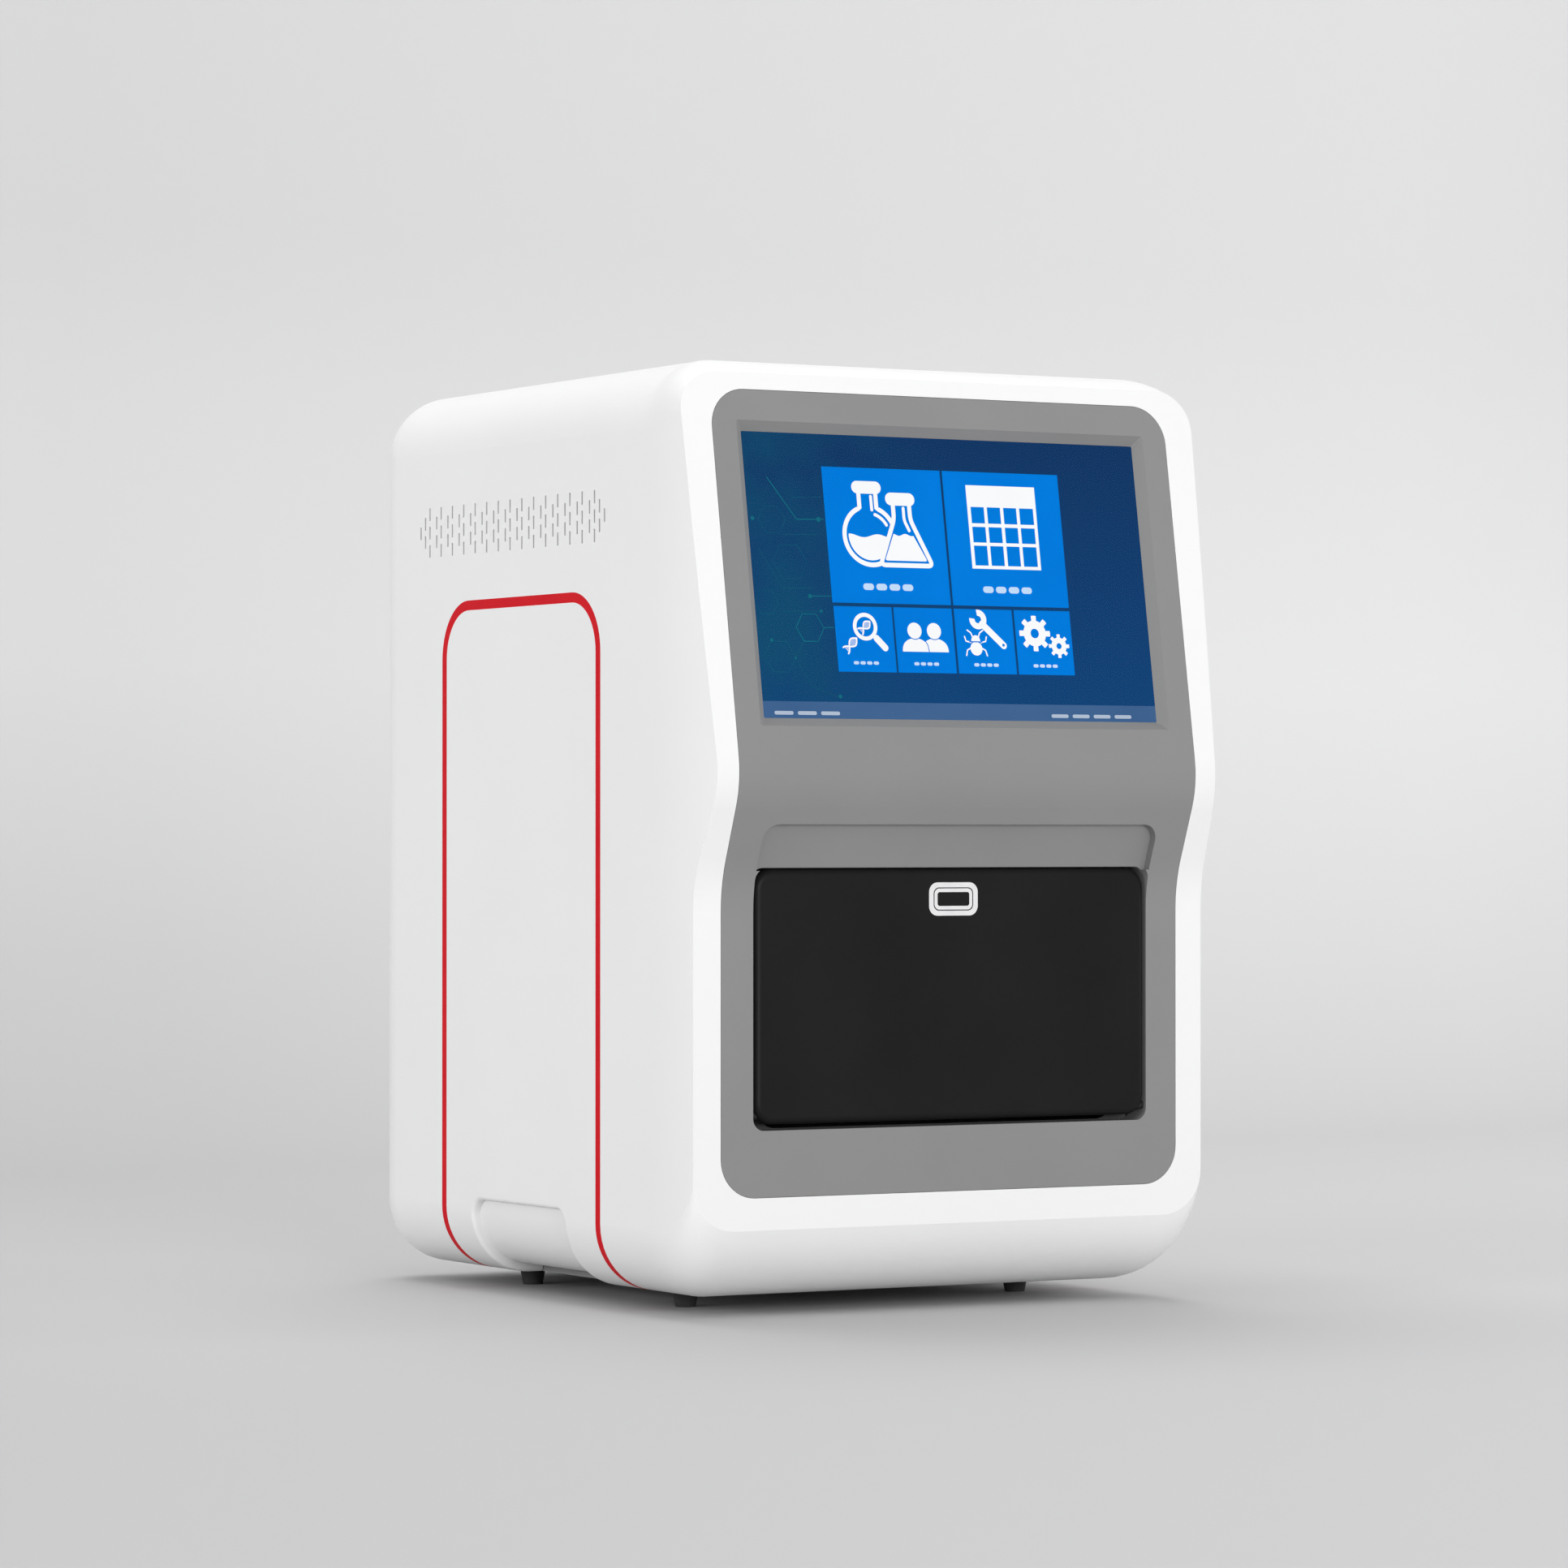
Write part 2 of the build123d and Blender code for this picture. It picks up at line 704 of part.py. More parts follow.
def make_door():
    """Black door: a thick tray with rounded edges, open at its back."""
    plate = rounded_bar(door_half_width, door_low, door_high, door_corner, lower_y, door_back)
    front_edges = plate.faces().sort_by(Axis.Y)[0].edges()
    plate = fillet(front_edges, door_edge_round)
    pocket = rounded_bar(door_half_width - door_rim, door_low + 2 * door_rim, door_high - door_rim,
                         door_corner - 2.5, lower_y + door_skin, door_back + 1)
    hole = rounded_bar(button_width / 2 + button_gap, button_height - button_tall / 2 - button_gap,
                       button_height + button_tall / 2 + button_gap, button_corner + button_gap,
                       lower_y - 1, door_back)
    door = plate - pocket - hole
    for side in (-1, 1):
        x0, x1 = sorted((side * (door_half_width - hinge_inset), side * (door_half_width + 1)))
        door -= round_x(x0, x1, hinge_y, hinge_z, hinge_radius + hinge_fit)
    return door


def make_door_cover():
    """Grey liner that closes the back of the door, with stiffening ribs."""
    cover = rounded_bar(door_half_width - 2.0, door_low + 6.0, door_high - 1.8, door_corner - 2,
                        door_back, cover_back)
    reach = door_half_width - 15
    ribs = [block(-reach, reach, door_back - 1.2, door_back, z, z + 1.2) for z in (85, 100, 115)]
    return cover + ribs


def make_hinge_pins():
    """Two steel pins between the panel's ears and the door's ends."""
    pins = []
    for side in (-1, 1):
        x0, x1 = sorted((side * (door_half_width - hinge_inset + 0.5), side * (opening_half + hinge_ear - 1)))
        pins.append(round_x(x0, x1, hinge_y, hinge_z, hinge_radius))
    return group(pins)


def make_button():
    """Release button: a rounded key with a flange that keeps it in the door."""
    key = rounded_bar(button_width / 2, button_height - button_tall / 2, button_height + button_tall / 2,
                      button_corner, lower_y, lower_y + door_skin + 0.2)
    flange = rounded_bar(button_width / 2 + button_flange, button_height - button_tall / 2 - button_flange,
                         button_height + button_tall / 2 + button_flange, button_corner,
                         lower_y + door_skin + 0.2, lower_y + door_skin + 0.2 + button_flange_thickness)
    return key + flange


def make_button_spring():
    """Small coil spring between the button and the door's liner."""
    start = lower_y + door_skin + 0.2 + button_flange_thickness
    length = door_back - start
    pitch = (length - spring_wire) / spring_turns
    path = Helix(pitch=pitch, height=length - spring_wire, radius=spring_radius,
                 center=(0, start + spring_wire / 2, button_height), direction=(0, 1, 0))
    section = Plane(origin=path @ 0, z_dir=path % 0) * Circle(spring_wire / 2)
    return sweep(section, path=path, is_frenet=True)


def catch_places():
    """Where the two door magnets meet their plates."""
    return [(side * (chamber_mouth_half - 5), door_high - 10) for side in (-1, 1)]


def make_strike_plates():
    """Two steel plates on the door's liner."""
    return group([block(x - 5, x + 5, cover_back, cover_back + 1.0, z - 3, z + 3) for x, z in catch_places()])


def make_door_magnets():
    """Two magnets on the chamber's front flange, a hair behind the steel plates."""
    return group([round_y(x, cover_back + 1.3, chamber_y, z, 2.8) for x, z in catch_places()])


def make_chamber():
    """Moulded box behind the door, open at the front, with a seat for the thermal block."""
    half, wall = chamber_half_width, chamber_wall
    shell = block(-half - wall, half + wall, chamber_y, chamber_back, chamber_floor, chamber_roof + wall)
    hollow = block(-half, half, chamber_y + wall, chamber_back - wall, chamber_floor + wall, chamber_roof)
    mouth = rounded_bar(chamber_mouth_half, chamber_floor + wall, chamber_mouth_high, 6,
                        chamber_y - 5, chamber_y + wall + 1)
    for x, z in catch_places():
        mouth -= block(x - 6, x + 6, chamber_y - 6, chamber_y + wall + 2, z - 6, chamber_mouth_high + 1)
    shell = shell - hollow - mouth
    shell -= block(-block_length / 2 - 0.5, block_length / 2 + 0.5, block_y - block_width / 2 - 0.5,
                   block_y + block_width / 2 + 0.5, chamber_floor - 1, chamber_floor + wall + 1)
    for side in (-1, 1):
        shell -= round_z(side * rod_half_spacing, rod_y, chamber_floor - 1, chamber_floor + wall + 1, rod_radius)
        shell -= round_z(side * rod_half_spacing, rod_y, chamber_roof - 1, chamber_roof + wall + 1, rod_radius)
    shell -= round_z(0, rod_y, chamber_roof - 1, chamber_roof + wall + 1, lid_screw_radius + 1.5)
    return shell


def well_places():
    """Centres of the sample wells."""
    columns = int((block_length - 2 * block_edge) / well_pitch)
    xs = [(column - (columns - 1) / 2) * well_pitch for column in range(columns)]
    ys = [block_y + (row - (well_rows - 1) / 2) * well_pitch for row in range(well_rows)]
    return [(x, y) for x in xs for y in ys]


def make_thermal_block():
    """Aluminium block with two rows of tapered wells and a flange below."""
    body = block(-block_length / 2 + 3, block_length / 2 - 3, block_y - block_width / 2 + 3,
                 block_y + block_width / 2 - 3, block_base, block_top)
    body = fillet(body.edges().filter_by(Axis.Z), 3)
    flange = block(-block_length / 2, block_length / 2, block_y - block_width / 2, block_y + block_width / 2,
                   block_base, block_base + 4)
    body += flange
    for x, y in well_places():
        body -= Pos(x, y, block_top - well_depth / 2) * Cone(well_low_radius, well_top_radius, well_depth)
    return body


def make_peltiers():
    """Two thermoelectric modules between the block and the heat sink."""
    low = chamber_floor
    modules = []
    for side in (-1, 1):
        x0, x1 = sorted((side * 1.0, side * (block_length / 2 - 1)))
        modules.append(block(x0, x1, block_y - block_width / 2 + 1, block_y + block_width / 2 - 1,
                             low, block_base))
    return group(modules)


def make_heat_sink():
    """Extruded sink under the chamber, its fins running front to back."""
    high = chamber_floor
    y0, y1 = block_y - 22, block_y - 22 + sink_width
    sink = block(-sink_length / 2, sink_length / 2, y0, y1, high - sink_base, high)
    pitch = (sink_length - sink_fin_thickness) / (sink_fins - 1)
    for index in range(sink_fins):
        x = -sink_length / 2 + index * pitch
        sink += block(x, x + sink_fin_thickness, y0, y1, high - sink_height, high - sink_base)
    for side in (-1, 1):
        sink -= round_z(side * rod_half_spacing, rod_y, high - sink_height, high + 1, rod_radius + 0.5)
    return sink


def make_rods():
    """Two ground rods that guide the lid, held by the chamber's floor and roof."""
    return group([round_z(side * rod_half_spacing, rod_y, chamber_floor, chamber_roof + chamber_wall, rod_radius)
                  for side in (-1, 1)])


def make_lid_motor():
    """Square stepping motor on the chamber's roof."""
    low = chamber_roof + chamber_wall
    half = motor_size / 2
    body = block(-half, half, rod_y - half, rod_y + half, low, low + motor_length)
    body = chamfer(body.edges().filter_by(Axis.Z), 2.5)
    return body - round_z(0, rod_y, low - 1, low + 8, lid_screw_radius + 0.3)


def make_lid_screw():
    """Lead screw that hangs from the motor."""
    low = block_top + 6
    screw = round_z(0, rod_y, low, chamber_roof + chamber_wall + 7.5, lid_screw_radius)
    return chamfer(screw.edges().sort_by(Axis.Z)[0], 0.6)


def make_lid_carrier():
    """Cast cross piece that rides on the rods and carries the lid and the optics."""
    half = rod_half_spacing + 6.5
    low, high = lid_high, lid_high + carrier_thickness
    beam = block(-half, half, rod_y - 6.5, rod_y + 6.5, low, high)
    beam = fillet(beam.edges().filter_by(Axis.Z), 6)
    front = block_y - block_width / 2 - 2
    for side in (-1, 1):
        x0, x1 = sorted((side * block_length / 2, side * (block_length / 2 + arm_width)))
        beam += block(x0, x1, front, rod_y, low, high)
        beam += round_z(side * rod_half_spacing, rod_y, low - 6, high + 8, 6.5)
        beam -= round_z(side * rod_half_spacing, rod_y, low - 10, high + 10, rod_radius + rod_fit)
    return beam - round_z(0, rod_y, low - 1, high + 1, 5.0)


def make_lid_nut():
    """Brass nut with a round flange, pressed into the cross piece."""
    low, high = lid_high, lid_high + carrier_thickness
    nut = round_z(0, rod_y, low, high, 5.0) + round_z(0, rod_y, high, high + 2, 6.3)
    return nut - round_z(0, rod_y, low - 1, high + 3, lid_screw_radius + 0.08)


def make_heated_lid():
    """Heated plate over the wells, with a hole above each one and a rim round its lower face."""
    half_x, half_y = block_length / 2 + 2, block_width / 2 + 2
    plate = block(-half_x, half_x, block_y - half_y, block_y + half_y, lid_low, lid_high)
    plate = fillet(plate.edges().filter_by(Axis.Z), 4)
    recess = block(-half_x + lid_skirt, half_x - lid_skirt, block_y - half_y + lid_skirt,
                   block_y + half_y - lid_skirt, lid_low - 1, lid_low + 1.5)
    plate -= recess
    for x, y in well_places():
        plate -= round_z(x, y, lid_low, lid_high + 1, 1.6)
    return plate


def optics_base():
    """Height of the rails above the lid."""
    return lid_high + carrier_thickness + optics_lift


def make_rails():
    """Two rods across the lid that guide the optics, with their end blocks."""
    z = optics_base()
    return group([round_x(-rail_reach, rail_reach, block_y + row * rail_spacing, z, rail_radius)
                  for row in (-0.5, 0.5)])


def make_rail_ends():
    """Blocks that hold the rails on the lid's arms."""
    z = optics_base()
    ends = []
    for side in (-1, 1):
        x0, x1 = sorted((side * (block_length / 2 + 1), side * (block_length / 2 + arm_width)))
        end = block(x0, x1, block_y - rail_spacing / 2 - 5, block_y + rail_spacing / 2 + 5,
                    lid_high + carrier_thickness, z + 4)
        for row in (-0.5, 0.5):
            end -= round_x(-rail_reach, rail_reach, block_y + row * rail_spacing, z, rail_radius)
        ends.append(end - round_x(x0 - 1, x1 + 1, block_y, z, optics_screw_radius + 0.1))
    return group(ends)


def make_optics_carriage():
    """Carriage that scans the wells, bored for the rails and the screw."""
    z = optics_base()
    low = lid_high + 0.8
    body = block(-optics_width / 2, optics_width / 2, block_y - optics_depth / 2, block_y + optics_depth / 2,
                 low, low + optics_height)
    body = fillet(body.edges().filter_by(Axis.Z), 3)
    for row in (-0.5, 0.5):
        body -= round_x(-50, 50, block_y + row * rail_spacing, z, rail_radius + rod_fit)
        body -= round_z(0, block_y + row * well_pitch, low - 1, z - 4, lens_radius)
    return body - round_x(-50, 50, block_y, z, optics_screw_radius + 0.1)


def make_lenses():
    """Two lenses in the carriage, one above each row of wells."""
    low = lid_high + 1.2
    return group([round_z(0, block_y + row * well_pitch, low, low + 4, lens_radius) for row in (-0.5, 0.5)])


def make_detector_board():
    """Small board with the light source and detectors on top of the carriage."""
    low = lid_high + 0.8 + optics_height
    board = block(-optics_width / 2, optics_width / 2, block_y - optics_depth / 2, block_y + optics_depth / 2,
                  low, low + 1.6)
    for row in (-0.5, 0.5):
        board += block(-4, 4, block_y + row * well_pitch - 3, block_y + row * well_pitch + 3, low + 1.6, low + 4)
    return board


def make_optics_screw():
    """Thin screw between the rails that moves the carriage."""
    z = optics_base()
    reach = block_length / 2 + arm_width
    return round_x(-reach + 0.5, reach + 3.5, block_y, z, optics_screw_radius)


def make_optics_motor():
    """Round motor at the right end of the optics screw."""
    z = optics_base()
    x0 = block_length / 2 + arm_width
    motor = round_x(x0, x0 + small_motor_length, block_y, z, small_motor_radius)
    motor += round_x(x0 + small_motor_length, x0 + small_motor_length + 1.5, block_y, z, 3)
    return motor - round_x(x0 - 1, x0 + 4, block_y, z, optics_screw_radius + 0.3)


def make_rear_panel():
    """Rear plate with the fan outlet, the power inlet, the switch and the sockets."""
    plate = rounded_bar(rear_half_width, rear_low, rear_high, rear_corner, rear_back, rear_face)
    plate -= round_y(0, rear_back - 1, rear_face + 1, fan_height, fan_bore)
    y0, y1 = rear_back - 1, rear_face + 1
    plate -= rounded_bar(inlet_width / 2, inlet_height - inlet_tall / 2, inlet_height + inlet_tall / 2, 2,
                         y0, y1, socket_column)
    plate -= rounded_bar(switch_width / 2, switch_height - switch_tall / 2, switch_height + switch_tall / 2, 1,
                         y0, y1, socket_column)
    plate -= [block(x - half, x + half, y0, y1, z0, z1) for x, half, z0, z1 in port_windows()]
    plate -= [round_y(x, y0, y1, z, screw_radius + 0.1) for x, z in guard_corners()]
    slots = []
    for row in range(6):
        z = 222 + 8 * row
        slots.append(rounded_bar(24, z - 1.5, z + 1.5, 1.4, y0, y1))
    return plate - slots


def port_windows():
    """Openings for the data sockets: centre, half width, low and high edge."""
    usb = [(-socket_column, 7.4, port_height - 10, port_height - 2.6)]
    usb.append((-socket_column, 7.4, port_height + 1, port_height + 8.4))
    return usb + [(-socket_column + 26, 8.4, port_height - 8.5, port_height + 6)]


def make_fan_frame():
    """Square fan housing with a round duct, a hub plate and its struts."""
    half = fan_size / 2
    y0, y1 = rear_back - fan_depth, rear_back
    body = rounded_bar(half, fan_height - half, fan_height + half, 4, y0, y1)
    body -= round_y(0, y0 - 1, y1 + 1, fan_height, fan_bore)
    body += round_y(0, y0, y0 + 3, fan_height, fan_hub)
    for angle in (30, 120, 210, 300):
        body += Pos(0, y0 + 1.5, fan_height) * Rotation(0, angle, 0) * Pos((fan_bore + fan_hub) / 2, 0, 0) * Box(
            fan_bore - fan_hub + 3, 3, 4)
    body += round_y(0, y0 + 3, y0 + 14, fan_height, 2)
    for x, z in guard_corners():
        body -= round_y(x, y0 - 1, y1 + 1, z, 2.15)
    return body


def make_fan_rotor():
    """Hub with seven twisted blades."""
    y0, y1 = rear_back - fan_depth + 4.5, rear_back - 1.5
    hub = round_y(0, y0, y1, fan_height, fan_hub)
    hub -= round_y(0, y0 - 1, y0 + 10, fan_height, 2.1)
    blades = []
    tip = fan_bore - fan_tip_gap
    for index in range(fan_blades):
        angle = 360 / fan_blades * index
        root = Plane(origin=(fan_hub - 1.5, (y0 + y1) / 2, fan_height), x_dir=(0, 1, 0), z_dir=(1, 0, 0))
        end = Plane(origin=(tip, (y0 + y1) / 2, fan_height), x_dir=(0, 1, 0), z_dir=(1, 0, 0))
        inner = root * Rotation(0, 0, 48) * Rectangle(15, 1.3)
        outer = end * Rotation(0, 0, 28) * Rectangle(17, 1.1)
        blade = loft([inner, outer])
        turned = Pos(0, 0, fan_height) * Rotation(0, angle, 0) * Pos(0, 0, -fan_height) * blade
        blades.append(turned)
    sweep_limit = round_y(0, y0, y1, fan_height, tip)
    return hub + [blade & sweep_limit for blade in blades]


def make_fan_guard():
    """Wire finger guard over the fan outlet, on the outside of the rear panel."""
    y = rear_face + guard_wire
    guard = None
    for index in range(guard_rings):
        radius = 8 + index * (fan_bore - 9.0) / (guard_rings - 1)
        ring = Pos(0, y, fan_height) * Rotation(90, 0, 0) * Torus(radius, guard_wire)
        guard = ring if guard is None else guard + ring
    reach = fan_screw_half * sqrt(2) - 2.5
    for angle in (45, 135):
        guard += Pos(0, y, fan_height) * Rotation(0, angle, 0) * round_x(-reach, reach, 0, 0, guard_wire)
    for x, z in guard_corners():
        eye = round_y(x, rear_face, rear_face + 2 * guard_wire, z, 4)
        guard += eye - round_y(x, rear_face - 1, rear_face + 3, z, screw_radius + 0.1)
    return guard


def guard_corners():
    """Screw places of the fan and its guard."""
    return [(x * fan_screw_half, fan_height + z * fan_screw_half) for x in (-1, 1) for z in (-1, 1)]


def rear_screw_places():
    """Screws at the rear panel's edge."""
    half = rear_half_width - 5
    rows = [rear_low + 8, (rear_low + rear_high) / 2, rear_high - 8]
    return [(x, z) for x in (-half, half) for z in rows]


def make_rear_screws():
    """Low round heads round the edge of the rear panel and at the fan guard's corners."""
    screws = []
    for x, z in rear_screw_places():
        screws.append(pan_head(x, rear_face, z))
    face = rear_face + 2 * guard_wire
    for x, z in guard_corners():
        screws.append(pan_head(x, face, z) + round_y(x, rear_face - 8, face, z, screw_radius))
    return group(screws)


def pan_head(x, y, z):
    """Low head of a screw that faces the rear, with a rounded rim and a cross recess."""
    head = round_y(x, y, y + pan_head_height, z, screw_head_radius)
    head = fillet(head.edges().sort_by(Axis.Y)[-1], 0.5)
    return head - cross_recess(Pos(x, y + pan_head_height, z) * Rotation(90, 0, 0))


def make_power_inlet():
    """Appliance inlet with its three pins in a keyed well."""
    x, z = socket_column, inlet_height
    flange = rounded_bar(15, z - 11.4, z + 11.4, 2, rear_face, rear_face + 1.6, x)
    body = rounded_bar(inlet_width / 2 - 0.2, z - inlet_tall / 2 + 0.2, z + inlet_tall / 2 - 0.2, 2,
                       rear_back - 18, rear_face, x)
    inlet = flange + body
    well = rounded_bar(11.9, z - 7.6, z + 7.6, 3.5, rear_face - inlet_well, rear_face + 3, x)
    return inlet - well


def make_inlet_pins():
    """Three flat pins that stand in the inlet's well."""
    pins = []
    for dx, dz in ((-7, -2), (0, 2), (7, -2)):
        x, z = socket_column + dx, inlet_height + dz
        pin = block(x - 1, x + 1, rear_face - inlet_well, rear_face - 2, z - 2, z + 2)
        pins.append(chamfer(pin.faces().sort_by(Axis.Y)[-1].edges(), 0.4))
    return group(pins)


def make_switch_frame():
    """Frame of the rocker switch."""
    x, z = socket_column, switch_height
    frame = rounded_bar(switch_width / 2 + 1.6, z - switch_tall / 2 - 1.6, z + switch_tall / 2 + 1.6, 1,
                        rear_face, rear_face + 1.2, x)
    frame += rounded_bar(switch_width / 2 - 0.2, z - switch_tall / 2 + 0.2, z + switch_tall / 2 - 0.2, 0.8,
                         rear_back - 14, rear_face, x)
    frame -= block(x - 9, x + 9, rear_face - 11, rear_face + 3, z - 6, z + 6)
    return frame - rocker_axle(rocker_pin + rocker_pin_fit)


def rocker_axle(radius):
    """The axle that the rocker tips about, held at both ends by the switch frame."""
    return round_z(socket_column, rear_face - rocker_pivot, switch_height - 6.6, switch_height + 6.6, radius)


def make_rocker():
    """Rocker key on its own pivot, tipped to its off side."""
    x, z = socket_column, switch_height
    half, tall = rocker_half, 10.8
    outline = [(-half, 0.8), (-half, 5.0), (0, 3.6), (half, 5.0), (half, 0.8), (0, -4.0)]
    tipped = Rotation(0, 0, -rocker_tilt) * make_face(Polyline(*outline, close=True))
    face = Plane(origin=(x, rear_face - rocker_pivot, z - tall / 2), x_dir=(1, 0, 0), z_dir=(0, 0, 1)) * tipped
    return extrude(face, amount=tall) + rocker_axle(rocker_pin)


def make_usb_ports():
    """Two stacked sockets, each an open metal shell."""
    ports = []
    for x, half, z0, z1 in port_windows()[:2]:
        shell = block(x - half + 0.2, x + half - 0.2, rear_back - 13, rear_face + 0.6, z0 + 0.2, z1 - 0.2)
        shell -= block(x - half + 0.7, x + half - 0.7, rear_back - 11, rear_face + 2, z0 + 0.7, z1 - 0.7)
        ports.append(shell)
    return group(ports)


def make_usb_tongues():
    """Plastic tongues that carry the contacts in the two sockets."""
    return group([block(x - half + 1.5, x + half - 1.5, rear_back - 11, rear_face - 0.5, z1 - 3.4, z1 - 1.5)
                  for x, half, _, z1 in port_windows()[:2]])


def make_ethernet():
    """Network socket with the notch for the plug's latch."""
    x, half, z0, z1 = port_windows()[2]
    shell = block(x - half + 0.2, x + half - 0.2, rear_back - 16, rear_face + 0.6, z0 + 0.2, z1 - 0.2)
    shell -= block(x - 5.9, x + 5.9, rear_face - 11, rear_face + 2, z0 + 4.0, z1 - 2.2)
    return shell - block(x - 3.1, x + 3.1, rear_face - 11, rear_face + 2, z0 + 1.4, z0 + 4.1)


def make_io_board():
    """Upright board that carries the data sockets."""
    y1 = rear_back - 16
    return block(-socket_column - 16, -socket_column + 40, y1 - 1.6, y1, port_height - 16, chassis_shelf)


def board_posts():
    """Standoffs of the main board."""
    return [(x, y) for x in (-board_half_width + 4, -2) for y in (board_front_y + 5, board_rear_y - 5)]


def make_standoffs():
    """Four spacers under the main board."""
    return group([round_z(x, y, shelf_top, shelf_top + board_lift, 3) for x, y in board_posts()])


def make_mainboard():
    """Main board with a notch for the cables at its rear edge."""
    low = shelf_top + board_lift
    board = block(-board_half_width - 1, 3, board_front_y, board_rear_y, low, low + board_thickness)
    return board - block(-24, -12, board_rear_y - 4, board_rear_y + 1, low - 1, low + 3)


def make_processor_sink():
    """Finned sink over the processor, in the middle of the main board."""
    x0, low = 20 - board_half_width, shelf_top + board_lift + board_thickness
    y = (board_front_y + board_rear_y) / 2
    sink = block(x0, x0 + 30, y - 14, y + 14, low, low + 2)
    return sink + [block(x0 + 4 * fin, x0 + 4 * fin + 2, y - 14, y + 14, low + 2, low + 10) for fin in range(8)]


def make_board_sockets():
    """Row of cable sockets along the front edge of the main board."""
    low = shelf_top + board_lift + board_thickness
    x0 = 4 - board_half_width
    sockets = []
    for index in range(int((board_half_width - 4) / 14)):
        socket = block(x0 + 14 * index, x0 + 14 * index + 10, board_front_y + 3, board_front_y + 11, low, low + 6)
        socket -= block(x0 + 14 * index + 1, x0 + 14 * index + 9, board_front_y + 4, board_front_y + 10,
                        low + 1.5, low + 7)
        sockets.append(socket)
    return group(sockets)


def make_board_capacitors():
    """Round capacitors along the rear edge of the main board."""
    low = shelf_top + board_lift + board_thickness
    caps = []
    for index in range(4):
        cap = round_z(12 * index + 10 - board_half_width, board_rear_y - 16, low, low + 9, 4)
        caps.append(fillet(cap.edges().sort_by(Axis.Z)[-1], 0.8))
    return group(caps)


def cage_box(inset):
    """Power supply's outline beside the main board, or a place inside it: x0, x1, y0, y1."""
    return (10 + inset, board_half_width - inset, board_front_y - 11 + inset, board_rear_y + 1 - inset)


def make_power_supply():
    """Vented cage of the power supply, folded from sheet."""
    x0, x1, y0, y1 = cage_box(0)
    high = shelf_top + cage_height
    cage = block(x0, x1, y0, y1, shelf_top, high)
    cage = chamfer(cage.edges().filter_by(Axis.Y).group_by(Axis.Z)[-1], 1.5)
    cage -= block(*cage_box(cage_wall), shelf_top - 1, high - cage_wall)
    rows = int((y1 - y0 - 3 * cage_slot_pitch) / cage_slot_pitch) + 1
    for row in range(rows):
        y = y0 + 12 + row * cage_slot_pitch
        cage -= block(x0 + 8, x1 - 8, y, y + 3.5, high - 1.5, high + 1)
    return cage


def make_supply_board():
    """Board inside the supply's cage with its transformer and two tall capacitors."""
    x0, x1, y0, y1 = cage_box(4)
    low = shelf_top
    top = low + 3 + board_thickness
    board_form = block(x0, x1, y0, y1, low + 3, top)
    for x in (x0 + 4, x1 - 4):
        for y in (y0 + 4, y1 - 4):
            board_form += round_z(x, y, low, low + 3, 2.5)
    middle = (y0 + y1) / 2
    board_form += block(x0 + 6, x1 - 6, middle - 12, middle + 12, top, top + 22)
    board_form += round_z((x0 + x1) / 2 - 9, middle + 24, top, top + 24, 7)
    return board_form + round_z((x0 + x1) / 2 + 9, middle + 24, top, top + 24, 7)


outer_form = casing_form(0)
inner_form = casing_form(casing_wall)

parts = {
    "main_casing": make_casing(outer_form, inner_form),
    "side_panel_left": make_side_panel(-1),
    "side_panel_right": make_side_panel(1),
    "side_trim_left": make_side_trim(-1),
    "side_trim_right": make_side_trim(1),
    "base_plate": make_base(),
    "rubber_feet": make_feet(),
    "foot_screws": make_foot_screws(),
    "chassis_frame": make_chassis(),
    "front_panel": make_front_panel(),
    "touch_glass": make_touch_glass(),
    "lcd_module": make_lcd(),
    "display_bracket": make_display_bracket(),
    "door_panel": make_door(),
    "door_inner_cover": make_door_cover(),
    "hinge_pins": make_hinge_pins(),
    "release_button": make_button(),
    "button_spring": make_button_spring(),
    "strike_plates": make_strike_plates(),
    "door_magnets": make_door_magnets(),
    "chamber_liner": make_chamber(),
    "thermal_block": make_thermal_block(),
    "peltier_modules": make_peltiers(),
    "heat_sink": make_heat_sink(),
    "lid_guide_rods": make_rods(),
    "lid_motor": make_lid_motor(),
    "lid_lead_screw": make_lid_screw(),
    "lid_carrier": make_lid_carrier(),
    "lid_nut": make_lid_nut(),
    "heated_lid": make_heated_lid(),
    "optics_rails": make_rails(),
    "optics_rail_ends": make_rail_ends(),
    "optics_carriage": make_optics_carriage(),
    "optics_lenses": make_lenses(),
    "detector_board": make_detector_board(),
    "optics_lead_screw": make_optics_screw(),
    "optics_motor": make_optics_motor(),
    "rear_panel": make_rear_panel(),
    "fan_frame": make_fan_frame(),
    "fan_rotor": make_fan_rotor(),
    "fan_guard": make_fan_guard(),
    "rear_screws": make_rear_screws(),
    "power_inlet": make_power_inlet(),
    "inlet_pins": make_inlet_pins(),
    "power_switch_frame": make_switch_frame(),
    "power_switch_rocker": make_rocker(),
    "usb_ports": make_usb_ports(),
    "usb_tongues": make_usb_tongues(),
    "ethernet_port": make_ethernet(),
    "io_board": make_io_board(),
    "board_standoffs": make_standoffs(),
    "mainboard": make_mainboard(),
    "processor_sink": make_processor_sink(),
    "board_sockets": make_board_sockets(),
    "board_capacitors": make_board_capacitors(),
    "power_supply": make_power_supply(),
    "supply_board": make_supply_board(),
}

os.makedirs("parts", exist_ok=True)
for name, shape in parts.items():
    export_step(shape, f"parts/{name}.step")
    print(name, "volume", round(shape.volume, 1))
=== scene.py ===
import json
import math

